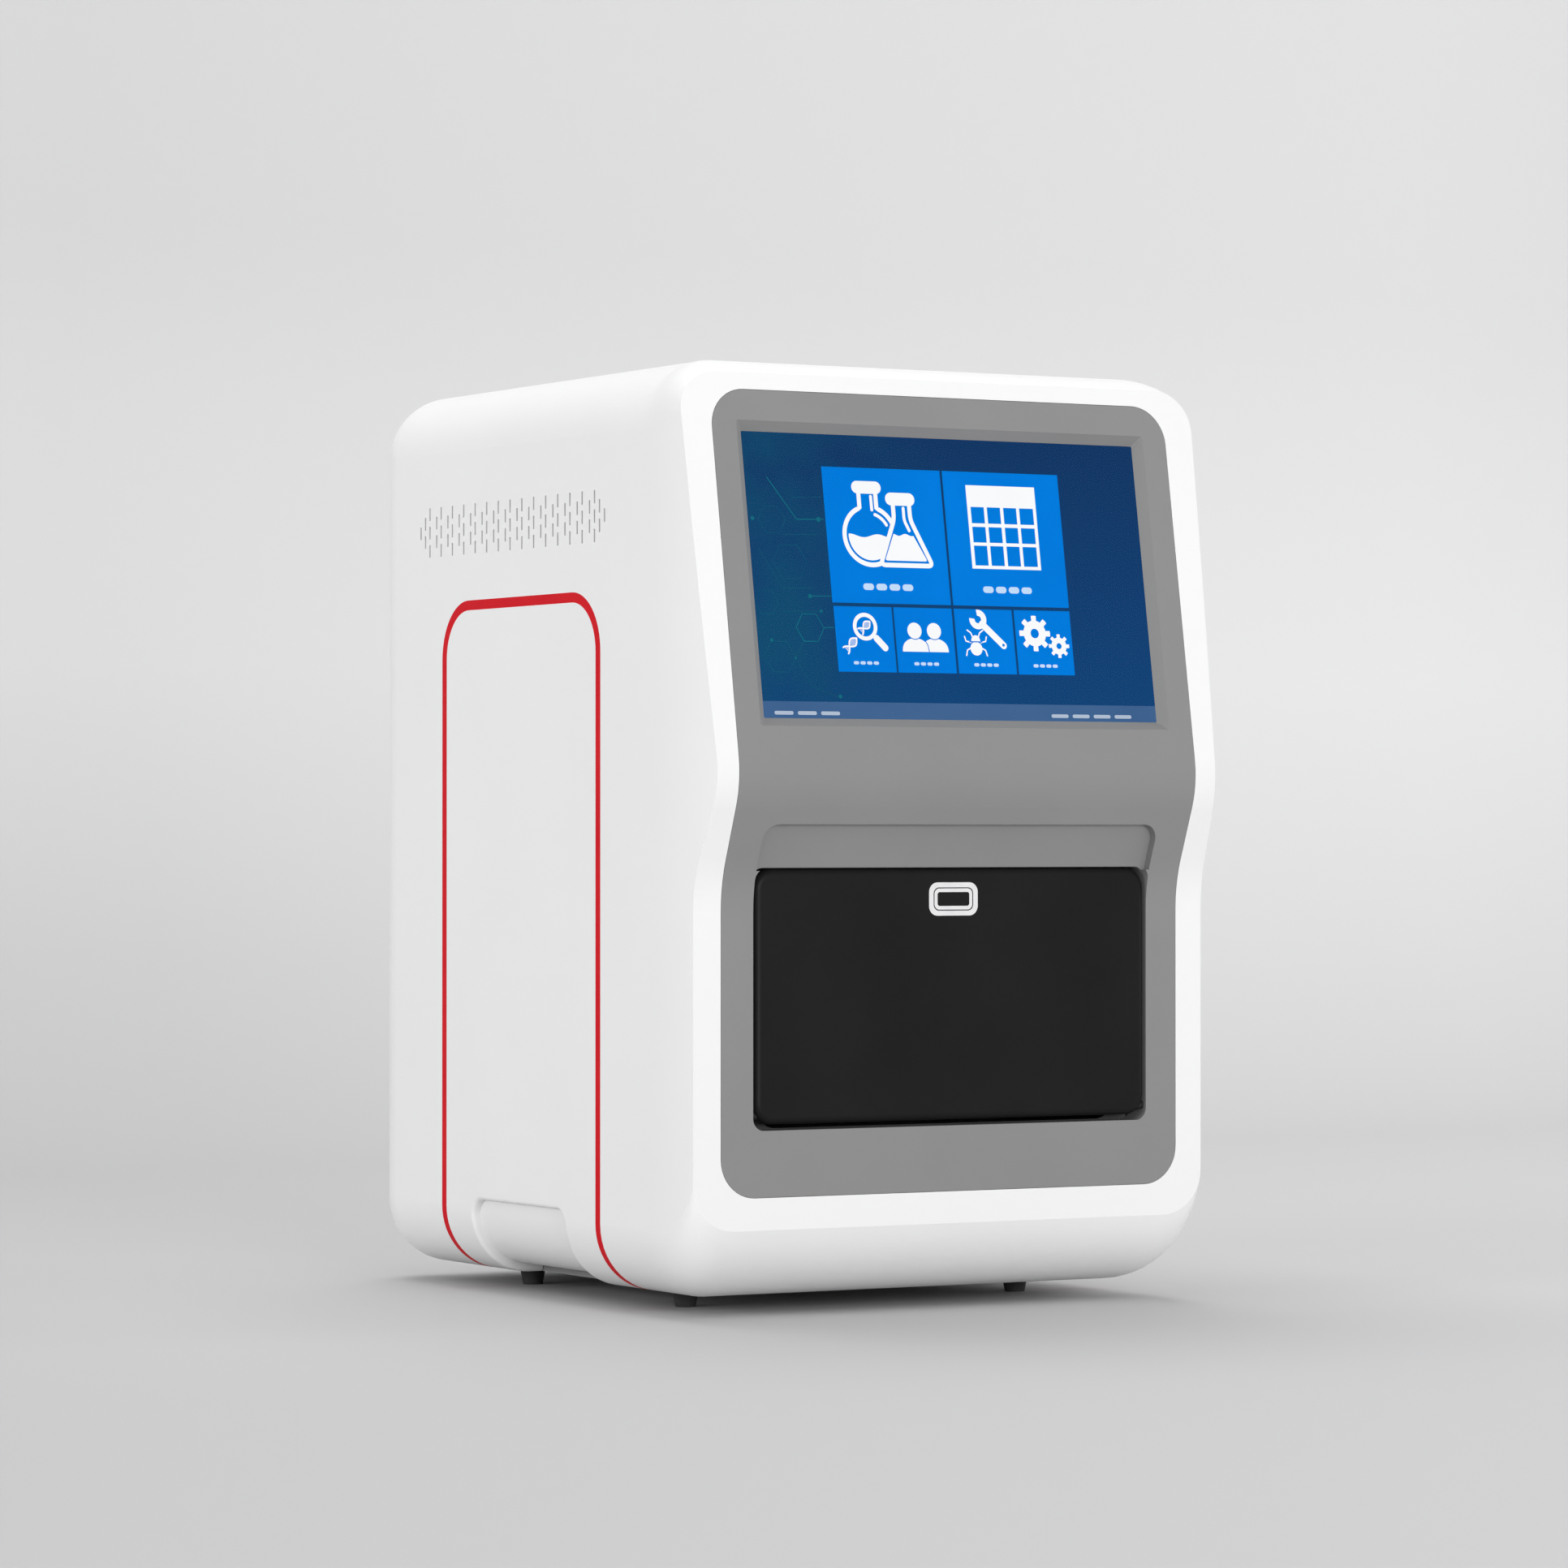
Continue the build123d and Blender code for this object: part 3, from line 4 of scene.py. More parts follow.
import bpy
import numpy as np
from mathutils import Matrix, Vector


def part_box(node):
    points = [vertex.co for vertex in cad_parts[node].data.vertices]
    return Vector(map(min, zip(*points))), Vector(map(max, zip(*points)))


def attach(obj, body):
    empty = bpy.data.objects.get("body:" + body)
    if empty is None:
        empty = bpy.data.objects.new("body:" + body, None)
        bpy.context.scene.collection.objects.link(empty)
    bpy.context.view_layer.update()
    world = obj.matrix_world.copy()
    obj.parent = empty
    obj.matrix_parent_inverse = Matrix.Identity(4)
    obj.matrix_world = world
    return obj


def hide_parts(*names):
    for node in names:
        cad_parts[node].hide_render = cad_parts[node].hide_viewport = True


# Looks for the bench-top analyser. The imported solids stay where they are: this script gives
# them their finishes and adds the screen's picture, the push mark, the threads and the contacts.
# Metres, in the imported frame: X right, Y to the rear, Z up.

print("loading the packed analyser")
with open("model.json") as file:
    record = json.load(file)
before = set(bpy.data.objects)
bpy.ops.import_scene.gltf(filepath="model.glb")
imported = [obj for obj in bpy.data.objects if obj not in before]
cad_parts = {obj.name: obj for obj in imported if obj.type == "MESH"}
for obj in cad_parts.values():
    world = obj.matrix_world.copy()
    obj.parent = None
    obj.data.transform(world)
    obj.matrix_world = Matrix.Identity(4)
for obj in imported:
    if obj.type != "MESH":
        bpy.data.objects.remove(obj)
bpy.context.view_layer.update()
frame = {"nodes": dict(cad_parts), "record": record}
nodes = frame["nodes"]


def middle(node):
    low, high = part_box(node)
    return (low + high) / 2


def meshPiece(name, points, faces, material, smooth=False):
    # the object stays at the origin, its place is in its points
    mesh = bpy.data.meshes.new(name)
    mesh.from_pydata(points.tolist(), [], faces.tolist())
    mesh.update()
    mesh.shade_smooth() if smooth else mesh.shade_flat()
    piece = bpy.data.objects.new(name, mesh)
    bpy.context.scene.collection.objects.link(piece)
    piece.data.materials.append(material)
    return piece


def gridFaces(rows, columns, closeColumns=False):
    # quads between neighbours of a rows x columns grid of points, the last column joined to the first if asked
    row = np.arange(rows - 1)
    column = np.arange(columns if closeColumns else columns - 1)
    rr, cc = np.meshgrid(row, column, indexing="ij")
    nextColumn = (cc + 1) % columns
    quads = [rr * columns + cc, rr * columns + nextColumn, (rr + 1) * columns + nextColumn, (rr + 1) * columns + cc]
    return np.stack(quads, -1).reshape(-1, 4)


def anticlockwise(flat, faces):
    # twice a face's area is the sum of u * nextV - nextU * v; faces where it is negative are turned round
    u, v = flat[faces, 0], flat[faces, 1]
    area = (u * np.roll(v, -1, axis=1) - np.roll(u, -1, axis=1) * v).sum(axis=1)
    return np.where(area[:, None] < 0, faces[:, ::-1], faces)


def newMaterial(name):
    # a material, its shader, and two short calls that add a node and join two sockets
    material = bpy.data.materials.new(name)
    material.use_nodes = True
    tree = material.node_tree
    shader = tree.nodes["Principled BSDF"]

    def add(kind, **values):
        node = tree.nodes.new(kind)
        for key, value in values.items():
            if key in node.inputs:
                node.inputs[key].default_value = value
            else:
                setattr(node, key, value)
        return node

    def join(source, target):
        tree.links.new(source, target)

    return material, shader, add, join


def objectNoise(add, join, size, detail=3.0, stretch=(1, 1, 1)):
    # noise on the piece's own coordinates, its lumps about size across
    place = add("ShaderNodeTexCoord")
    mapping = add("ShaderNodeMapping")
    mapping.inputs["Scale"].default_value = stretch
    noise = add("ShaderNodeTexNoise", Scale=1.0 / size, Detail=detail, Roughness=0.55)
    join(place.outputs["Object"], mapping.inputs["Vector"])
    join(mapping.outputs["Vector"], noise.inputs["Vector"])
    return noise


def colourBetween(add, join, factor, first, second, low=0.3, high=0.7):
    ramp = add("ShaderNodeValToRGB")
    ramp.color_ramp.elements[0].position, ramp.color_ramp.elements[1].position = low, high
    ramp.color_ramp.elements[0].color, ramp.color_ramp.elements[1].color = (*first, 1), (*second, 1)
    join(factor, ramp.inputs["Fac"])
    return ramp


def spread(add, join, factor, low, high):
    reach = add("ShaderNodeMapRange")
    reach.inputs["From Min"].default_value, reach.inputs["From Max"].default_value = 0.3, 0.7
    reach.inputs["To Min"].default_value, reach.inputs["To Max"].default_value = low, high
    join(factor, reach.inputs["Value"])
    return reach


def bumpFrom(add, join, height, depth, strength):
    # depth is the bump's full height in metres
    bump = add("ShaderNodeBump", Strength=strength, Distance=depth)
    join(height, bump.inputs["Height"])
    return bump


def mouldedPlastic(name, look):
    # broad tone patches, a fine spark-eroded grain and uneven gloss
    material, shader, add, join = newMaterial(name)
    patches = objectNoise(add, join, look["patch"], 2.0)
    tone = colourBetween(add, join, patches.outputs["Fac"], look["colour"], look["shade"])
    join(tone.outputs["Color"], shader.inputs["Base Color"])
    gloss = spread(add, join, patches.outputs["Fac"], *look["rough"])
    join(gloss.outputs["Result"], shader.inputs["Roughness"])
    grain = objectNoise(add, join, look["grain"], 2.0)
    bump = bumpFrom(add, join, grain.outputs["Fac"], look["depth"], 0.6)
    join(bump.outputs["Normal"], shader.inputs["Normal"])
    shader.inputs["Specular IOR Level"].default_value = look.get("specular", 0.4)
    return material


def brushedMetal(name, look):
    # fine lines along one axis, faint stains and uneven gloss
    material, shader, add, join = newMaterial(name)
    shader.inputs["Metallic"].default_value = look.get("metal", 1.0)
    lines = objectNoise(add, join, look["line"], 3.0, look["stretch"])
    stains = objectNoise(add, join, look["patch"], 3.0)
    tone = colourBetween(add, join, stains.outputs["Fac"], look["colour"], look["shade"])
    join(tone.outputs["Color"], shader.inputs["Base Color"])
    gloss = spread(add, join, lines.outputs["Fac"], *look["rough"])
    join(gloss.outputs["Result"], shader.inputs["Roughness"])
    bump = bumpFrom(add, join, lines.outputs["Fac"], look["depth"], 0.5)
    join(bump.outputs["Normal"], shader.inputs["Normal"])
    return material


def spangledZinc(name, look):
    # galvanised sheet: crystals of different grey, each with its own gloss
    material, shader, add, join = newMaterial(name)
    shader.inputs["Metallic"].default_value = 1.0
    place = add("ShaderNodeTexCoord")
    cells = add("ShaderNodeTexVoronoi", Scale=1.0 / look["crystal"])
    join(place.outputs["Object"], cells.inputs["Vector"])
    split = add("ShaderNodeSeparateColor")
    join(cells.outputs["Color"], split.inputs["Color"])
    tone = colourBetween(add, join, split.outputs["Red"], look["colour"], look["shade"], 0.1, 0.9)
    join(tone.outputs["Color"], shader.inputs["Base Color"])
    gloss = spread(add, join, split.outputs["Green"], *look["rough"])
    join(gloss.outputs["Result"], shader.inputs["Roughness"])
    fine = objectNoise(add, join, 0.0006, 2.0)
    bump = bumpFrom(add, join, fine.outputs["Fac"], look["depth"], 0.4)
    join(bump.outputs["Normal"], shader.inputs["Normal"])
    return material


def printedBoard(name, look):
    # raised tracks under a glossy lacquer
    material, shader, add, join = newMaterial(name)
    place = add("ShaderNodeTexCoord")
    tracks = add("ShaderNodeTexBrick", Scale=1.0, offset=0.37)
    tracks.inputs["Brick Width"].default_value = look["pitch"] * 5
    tracks.inputs["Row Height"].default_value = look["pitch"]
    tracks.inputs["Mortar Size"].default_value = look["pitch"] * 0.18
    for socket, colour in (("Color1", "mask"), ("Color2", "mask"), ("Mortar", "track")):
        tracks.inputs[socket].default_value = (*look[colour], 1)
    join(place.outputs["Object"], tracks.inputs["Vector"])
    join(tracks.outputs["Color"], shader.inputs["Base Color"])
    bump = bumpFrom(add, join, tracks.outputs["Fac"], 0.00003, 0.5)
    join(bump.outputs["Normal"], shader.inputs["Normal"])
    shader.inputs["Roughness"].default_value = 0.3
    shader.inputs["Coat Weight"].default_value = 0.4
    return material


def clearGlass(name, look):
    # clear pane with a faint smear in its gloss
    material, shader, add, join = newMaterial(name)
    smear = objectNoise(add, join, 0.03, 2.0)
    gloss = spread(add, join, smear.outputs["Fac"], *look["rough"])
    join(gloss.outputs["Result"], shader.inputs["Roughness"])
    shader.inputs["Base Color"].default_value = (*look["colour"], 1)
    shader.inputs["Transmission Weight"].default_value = 1.0
    shader.inputs["IOR"].default_value = look["ior"]
    shader.inputs["Specular IOR Level"].default_value = look["specular"]
    return material


def litInk(name, first, second, patch=0.03):
    # lit screen colour with a faint, slow change across it
    material, shader, add, join = newMaterial(name)
    patches = objectNoise(add, join, patch, 2.0)
    tone = colourBetween(add, join, patches.outputs["Fac"], first, second)
    return lit(material, shader, join, tone.outputs["Color"])


def lit(material, shader, join, colour):
    join(colour, shader.inputs["Emission Color"])
    shader.inputs["Emission Strength"].default_value = 1.0
    shader.inputs["Base Color"].default_value = (0, 0, 0, 1)
    shader.inputs["Specular IOR Level"].default_value = 0.0
    return material


print("mixing the finishes")
plastics = {
    "white_shell": {"colour": (0.80, 0.80, 0.80), "shade": (0.785, 0.785, 0.787), "patch": 0.07,
                    "rough": (0.42, 0.5), "grain": 0.0007, "depth": 0.00002, "specular": 0.35},
    "grey_shell": {"colour": (0.228, 0.228, 0.227), "shade": (0.218, 0.218, 0.218), "patch": 0.05,
                   "rough": (0.48, 0.56), "grain": 0.0006, "depth": 0.00003, "specular": 0.3},
    "black_shell": {"colour": (0.008, 0.008, 0.0082), "shade": (0.0095, 0.0095, 0.0098), "patch": 0.04,
                    "rough": (0.38, 0.46), "grain": 0.0005, "depth": 0.00002, "specular": 0.1},
    "black_steel": {"colour": (0.012, 0.012, 0.013), "shade": (0.02, 0.02, 0.021), "patch": 0.002,
                    "rough": (0.4, 0.5), "grain": 0.0004, "depth": 0.00001, "specular": 0.2},
    "dark_grey_plastic": {"colour": (0.05, 0.05, 0.052), "shade": (0.06, 0.06, 0.062), "patch": 0.03,
                          "rough": (0.5, 0.6), "grain": 0.0006, "depth": 0.00003},
    "red_trim": {"colour": (0.60, 0.0, 0.007), "shade": (0.57, 0.0, 0.009), "patch": 0.02,
                 "rough": (0.4, 0.48), "grain": 0.0005, "depth": 0.00002, "specular": 0.08},
    "dark_rubber": {"colour": (0.02, 0.02, 0.021), "shade": (0.035, 0.035, 0.036), "patch": 0.004,
                    "rough": (0.6, 0.75), "grain": 0.0004, "depth": 0.00005},
    "motor_black": {"colour": (0.02, 0.02, 0.021), "shade": (0.03, 0.03, 0.03), "patch": 0.01,
                    "rough": (0.4, 0.5), "grain": 0.0005, "depth": 0.00003},
    "ceramic_white": {"colour": (0.72, 0.71, 0.68), "shade": (0.66, 0.65, 0.62), "patch": 0.006,
                      "rough": (0.45, 0.55), "grain": 0.0004, "depth": 0.00001},
    "optics_black": {"colour": (0.012, 0.012, 0.013), "shade": (0.02, 0.02, 0.02), "patch": 0.008,
                     "rough": (0.5, 0.6), "grain": 0.0005, "depth": 0.00003},
    "fan_black": {"colour": (0.018, 0.018, 0.019), "shade": (0.026, 0.026, 0.027), "patch": 0.01,
                  "rough": (0.45, 0.55), "grain": 0.0006, "depth": 0.00003},
    "socket_black": {"colour": (0.018, 0.018, 0.019), "shade": (0.024, 0.024, 0.025), "patch": 0.008,
                     "rough": (0.4, 0.5), "grain": 0.0005, "depth": 0.00003},
    "lcd_module": {"colour": (0.03, 0.03, 0.032), "shade": (0.04, 0.04, 0.042), "patch": 0.02,
                   "rough": (0.35, 0.45), "grain": 0.0006, "depth": 0.00001},
    "powder_grey": {"colour": (0.262, 0.262, 0.262), "shade": (0.25, 0.25, 0.252), "patch": 0.05,
                    "rough": (0.48, 0.56), "grain": 0.0008, "depth": 0.00006, "specular": 0.3},
    "white_metal": {"colour": (0.74, 0.74, 0.74), "shade": (0.7, 0.7, 0.7), "patch": 0.04,
                    "rough": (0.45, 0.55), "grain": 0.0009, "depth": 0.00006},
    "mark_white": {"colour": (0.72, 0.72, 0.72), "shade": (0.66, 0.66, 0.67), "patch": 0.004,
                   "rough": (0.4, 0.5), "grain": 0.0004, "depth": 0.00001},
}
metals = {
    "screw_steel": {"colour": (0.55, 0.55, 0.56), "shade": (0.46, 0.46, 0.47), "patch": 0.002,
                    "line": 0.0006, "stretch": (1, 1, 0.2), "rough": (0.25, 0.38), "depth": 0.00001},
    "spring_steel": {"colour": (0.5, 0.5, 0.52), "shade": (0.4, 0.4, 0.42), "patch": 0.002,
                     "line": 0.0004, "stretch": (1, 0.2, 1), "rough": (0.22, 0.34), "depth": 0.000005},
    "magnet_metal": {"colour": (0.62, 0.61, 0.6), "shade": (0.54, 0.53, 0.52), "patch": 0.002,
                     "line": 0.0005, "stretch": (1, 0.2, 1), "rough": (0.18, 0.3), "depth": 0.000005},
    "block_aluminium": {"colour": (0.74, 0.75, 0.77), "shade": (0.66, 0.67, 0.69), "patch": 0.012,
                        "line": 0.0006, "stretch": (0.08, 1, 1), "rough": (0.24, 0.4), "depth": 0.00001},
    "black_aluminium": {"colour": (0.035, 0.036, 0.04), "shade": (0.05, 0.05, 0.055), "patch": 0.012,
                        "line": 0.0008, "stretch": (1, 0.06, 1), "rough": (0.32, 0.45), "depth": 0.00002,
                        "metal": 0.6},
    "ground_steel": {"colour": (0.62, 0.62, 0.63), "shade": (0.56, 0.56, 0.57), "patch": 0.01,
                     "line": 0.0005, "stretch": (1, 1, 0.5), "rough": (0.12, 0.22), "depth": 0.000004},
    "nut_brass": {"colour": (0.70, 0.50, 0.20), "shade": (0.60, 0.42, 0.17), "patch": 0.003,
                  "line": 0.0005, "stretch": (0.4, 0.4, 1), "rough": (0.22, 0.34), "depth": 0.000008},
    "motor_silver": {"colour": (0.6, 0.6, 0.61), "shade": (0.5, 0.5, 0.51), "patch": 0.006,
                     "line": 0.0005, "stretch": (0.2, 1, 1), "rough": (0.25, 0.36), "depth": 0.000006},
    "chrome_wire": {"colour": (0.66, 0.66, 0.67), "shade": (0.58, 0.58, 0.59), "patch": 0.004,
                    "line": 0.0007, "stretch": (1, 1, 1), "rough": (0.14, 0.24), "depth": 0.000004},
    "port_metal": {"colour": (0.6, 0.6, 0.6), "shade": (0.5, 0.5, 0.5), "patch": 0.003,
                   "line": 0.0005, "stretch": (1, 0.1, 1), "rough": (0.25, 0.36), "depth": 0.000008},
    "contact_gold": {"colour": (0.83, 0.62, 0.25), "shade": (0.76, 0.56, 0.22), "patch": 0.001,
                     "line": 0.0003, "stretch": (1, 0.1, 1), "rough": (0.2, 0.3), "depth": 0.000003},
}
panes = {
    "screen_glass": {"colour": (1, 1, 1), "rough": (0.0, 0.02), "ior": 1.12, "specular": 0.5},
    "lens_glass": {"colour": (0.9, 0.95, 1), "rough": (0.0, 0.02), "ior": 1.5, "specular": 0.5},
}
zinc = {"crystal": 0.007, "colour": (0.48, 0.49, 0.5), "shade": (0.6, 0.61, 0.62),
        "rough": (0.3, 0.45), "depth": 0.00001}
board = {"mask": (0.012, 0.13, 0.045), "track": (0.03, 0.22, 0.08), "pitch": 0.0013}

finishes = {name: mouldedPlastic(name, look) for name, look in plastics.items()}
finishes.update({name: brushedMetal(name, look) for name, look in metals.items()})
finishes.update({name: clearGlass(name, look) for name, look in panes.items()})
finishes["zinc_sheet"] = spangledZinc("zinc_sheet", zinc)
finishes["board_green"] = printedBoard("board_green", board)

for part in frame["record"]["subparts"]:
    for spot in nodes[part["node"]].material_slots:
        spot.material = finishes[part["material_slot"]]


print("drawing the screen")
screen = {
    "leanDegrees": 9.36,
    "depth": -0.0004,         # the picture's place in front of the middle of the glass
    "layer": 0.00002,         # step between the picture's layers
    "half": (77.4, 49.1),     # half width and half height, in millimetres
    "bandTop": -41.4,
    "bigTiles": [(-45.85, -0.75, -8.6, 36.5), (0.1, 45.15, -8.6, 36.5)],
    "smallTiles": [(-45.6, -23.7), (-23.0, -0.75), (0.1, 22.5), (23.3, 45.15)],
    "smallRow": (-31.4, -9.75),
    "line": 1.55,             # stroke of the large signs
    "fine": 1.1,
}
screenMiddle = middle("touch_glass")


def onScreen(u, v, layer):
    # u millimetres to the right and v up the leaning face, every layer a hair nearer to the user
    lean = math.radians(screen["leanDegrees"])
    depth = screen["depth"] + layer * screen["layer"]
    x = screenMiddle.x + u / 1000
    y = screenMiddle.y + v / 1000 * math.sin(lean) - depth * math.cos(lean)
    z = screenMiddle.z + v / 1000 * math.cos(lean) + depth * math.sin(lean)
    return np.stack([x, y, z], -1)


class Drawing:
    # flat shapes gathered into one mesh, each a grid of (u, v) points
    def __init__(self, layer):
        self.layer, self.flat, self.faces, self.count = layer, [], [], 0

    def grid(self, u, v, closeColumns=False):
        flat = np.stack([u, v], -1).reshape(-1, 2)
        self.faces.append(anticlockwise(flat, gridFaces(*u.shape, closeColumns)) + self.count)
        self.flat.append(flat)
        self.count += len(flat)

    def tile(self, left, right, low, high):
        self.grid(*np.meshgrid(np.linspace(left, right, 3), np.linspace(low, high, 3)))

    def ring(self, u, v, inner, outer, start=0.0, end=360.0):
        # points at two radii round a centre, from one angle to another
        angle = np.radians(np.linspace(start, end, 61))
        radius = np.array([[inner], [outer]]) * np.ones_like(angle)
        self.grid(u + radius * np.cos(angle), v + radius * np.sin(angle))

    def disc(self, u, v, radius):
        self.ring(u, v, radius * 0.01, radius)

    def gear(self, u, v, hole, root, tip, teeth=8):
        # rim = root + (tip - root) * a cosine of teeth times the angle, steepened and clipped
        angle = np.radians(np.linspace(0, 360, 241))
        wave = np.clip(0.5 + 2.4 * (np.cos(teeth * angle) - 0.1), 0, 1)
        radius = np.stack([np.full_like(angle, hole), root + (tip - root) * wave])
        self.grid(u + radius * np.cos(angle), v + radius * np.sin(angle))

    def band(self, path, width, roundEnds=True):
        # every point of the path moves half the width to both sides
        path = np.asarray(path, float)
        step = np.gradient(path, axis=0)
        step /= np.linalg.norm(step, axis=1)[:, None]
        side = np.stack([-step[:, 1], step[:, 0]], 1) * width / 2
        self.grid(np.stack([(path + side)[:, 0], (path - side)[:, 0]]),
                  np.stack([(path + side)[:, 1], (path - side)[:, 1]]))
        for end in (path[0], path[-1]) if roundEnds else ():
            self.disc(*end, width / 2)

    def shape(self, outline):
        # outline drawn in towards its middle: point = middle + share * (corner - middle)
        outline = np.asarray(outline, float)
        outline = np.concatenate([outline, outline[:1]])
        centre = outline[:-1].mean(axis=0)
        points = centre + np.array([0.01, 1.0])[:, None, None] * (outline - centre)
        self.grid(points[..., 0], points[..., 1])

    def piece(self, name, material):
        flat = np.concatenate(self.flat)
        drawn = meshPiece(name, onScreen(flat[:, 0], flat[:, 1], self.layer), np.concatenate(self.faces), material)
        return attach(drawn, "root")


cornerSteps = 7


def rounded(corners, radius, closed=False):
    # each corner becomes a quadratic arc between points a radius away on its two sides
    corners = np.asarray(corners, float)
    before, after = np.roll(corners, 1, axis=0), np.roll(corners, -1, axis=0)
    t = np.linspace(0, 1, cornerSteps)[None, :, None]
    away = corners + (before - corners) * (radius / np.linalg.norm(before - corners, axis=1))[:, None]
    onward = corners + (after - corners) * (radius / np.linalg.norm(after - corners, axis=1))[:, None]
    arcs = (1 - t) ** 2 * away[:, None] + 2 * t * (1 - t) * corners[:, None] + t ** 2 * onward[:, None]
    if closed:
        return arcs.reshape(-1, 2)
    return np.concatenate([corners[:1], arcs[1:-1].reshape(-1, 2), corners[-1:]])


def arc(u, v, radius, start, end, steps=48):
    angle = np.radians(np.linspace(start, end, steps))
    return np.stack([u + radius * np.cos(angle), v + radius * np.sin(angle)], 1)


def wave(left, right, height, swell, length, crest):
    # height + swell * cos(2 pi (u - crest) / length)
    u = np.linspace(left, right, 25)
    return np.stack([u, height + swell * np.cos(2 * np.pi * (u - crest) / length)], 1)


ground = {
    "foot": (0.006, 0.056, 0.185), "head": (0.006, 0.037, 0.125), "haze": (0.006, 0.075, 0.155),
    "rise": (0.195, 0.285),   # heights between which the blue darkens
    "leftward": (0.0, -0.06),  # the haze grows between these places
    "lump": 0.03, "thickest": 0.75,
}


def groundInk():
    # dark blue, lighter towards the foot, with teal haze at the left
    material, shader, add, join = newMaterial("screen_ground")
    place = add("ShaderNodeTexCoord")
    split = add("ShaderNodeSeparateXYZ")
    join(place.outputs["Object"], split.inputs["Vector"])
    rise = add("ShaderNodeMapRange")
    rise.inputs["From Min"].default_value, rise.inputs["From Max"].default_value = ground["rise"]
    join(split.outputs["Z"], rise.inputs["Value"])
    blue = colourBetween(add, join, rise.outputs["Result"], ground["foot"], ground["head"], 0, 1)
    haze = objectNoise(add, join, ground["lump"], 3.0)
    leftward = add("ShaderNodeMapRange")
    leftward.inputs["From Min"].default_value, leftward.inputs["From Max"].default_value = ground["leftward"]
    join(split.outputs["X"], leftward.inputs["Value"])
    amount = add("ShaderNodeMath", operation="MULTIPLY")
    thick = spread(add, join, haze.outputs["Fac"], 0.0, ground["thickest"])
    join(thick.outputs["Result"], amount.inputs[0])
    join(leftward.outputs["Result"], amount.inputs[1])
    mix = add("ShaderNodeMix", data_type="RGBA")
    join(amount.outputs[0], mix.inputs[0])
    join(blue.outputs["Color"], mix.inputs[6])
    mix.inputs[7].default_value = (*ground["haze"], 1)
    return lit(material, shader, join, mix.outputs[2])


inks = {
    "ground": groundInk(),
    "tile": litInk("screen_tile", (0.0, 0.185, 0.70), (0.0, 0.20, 0.74)),
    "white": litInk("screen_white", (0.93, 0.94, 0.96), (0.96, 0.97, 0.98)),
    "caption": litInk("screen_caption", (0.52, 0.70, 0.93), (0.56, 0.73, 0.95)),
    "status": litInk("screen_status", (0.42, 0.50, 0.62), (0.45, 0.53, 0.65)),
    "band": litInk("screen_band", (0.045, 0.115, 0.26), (0.055, 0.13, 0.285)),
    "net": litInk("screen_net", (0.006, 0.07, 0.14), (0.006, 0.11, 0.18), 0.012),
    "glow": litInk("screen_glow", (0.006, 0.12, 0.185), (0.008, 0.19, 0.24), 0.008),
}


def drawGround():
    wide, tall = screen["half"]
    back, band, tiles = Drawing(0), Drawing(1), Drawing(3)
    back.tile(-wide, wide, -tall, tall)
    back.piece("screen_ground", inks["ground"])
    band.tile(-wide, wide, -tall, screen["bandTop"])
    band.piece("screen_status_band", inks["band"])
    for sides in screen["bigTiles"]:
        tiles.tile(*sides)
    for sides in screen["smallTiles"]:
        tiles.tile(*sides, *screen["smallRow"])
    tiles.piece("screen_tiles", inks["tile"])


def drawNet():
    # faint hexagons at the left, their bonds and a few glowing joints
    net, glow = Drawing(1), Drawing(2)
    for u, v, radius in [(-66, 18.3, 5.1), (-67.1, -26.8, 5.8), (-60.5, 4.5, 6.4), (-70.5, -9, 4.4)]:
        net.band(arc(u, v, radius, 0, 360, 7), 0.2, False)
    for path in ([(-58.1, 25.8), (-46.7, 26.2)], [(-62.3, 13.5), (-49.5, 13.8)], [(-64.7, -11.9), (-50.3, -11.6)],
                 [(-71.9, 8.7), (-64.0, -4.2), (-52.7, -4.0)], [(-61.3, -27.2), (-55.8, -36.5), (-46, -40)],
                 [(-57.6, -21.6), (-61.3, -27.2)]):
        net.band(path, 0.2, False)
    glow.band(arc(-55.0, -17.1, 5.2, 0, 360, 7), 0.28, False)
    for path in ([(-66.7, 32.4), (-56.7, 18.6), (-46.4, 18.9)], [(-54.0, -6.7), (-46, -6.5)],
                 [(-49.8, -17.0), (-46, -16.9)]):
        glow.band(path, 0.28, False)
    for u, v, radius in [(-48.5, 18.8, 0.8), (-73.1, 18.6, 0.7), (-54.0, -6.7, 0.7), (-50.3, -11.6, 0.55),
                         (-69.7, -21.4, 0.5), (-61.3, -27.2, 0.4), (-45.8, -39.6, 0.6)]:
        glow.disc(u, v, radius)
    net.piece("screen_net", inks["net"])
    glow.piece("screen_glow", inks["glow"])


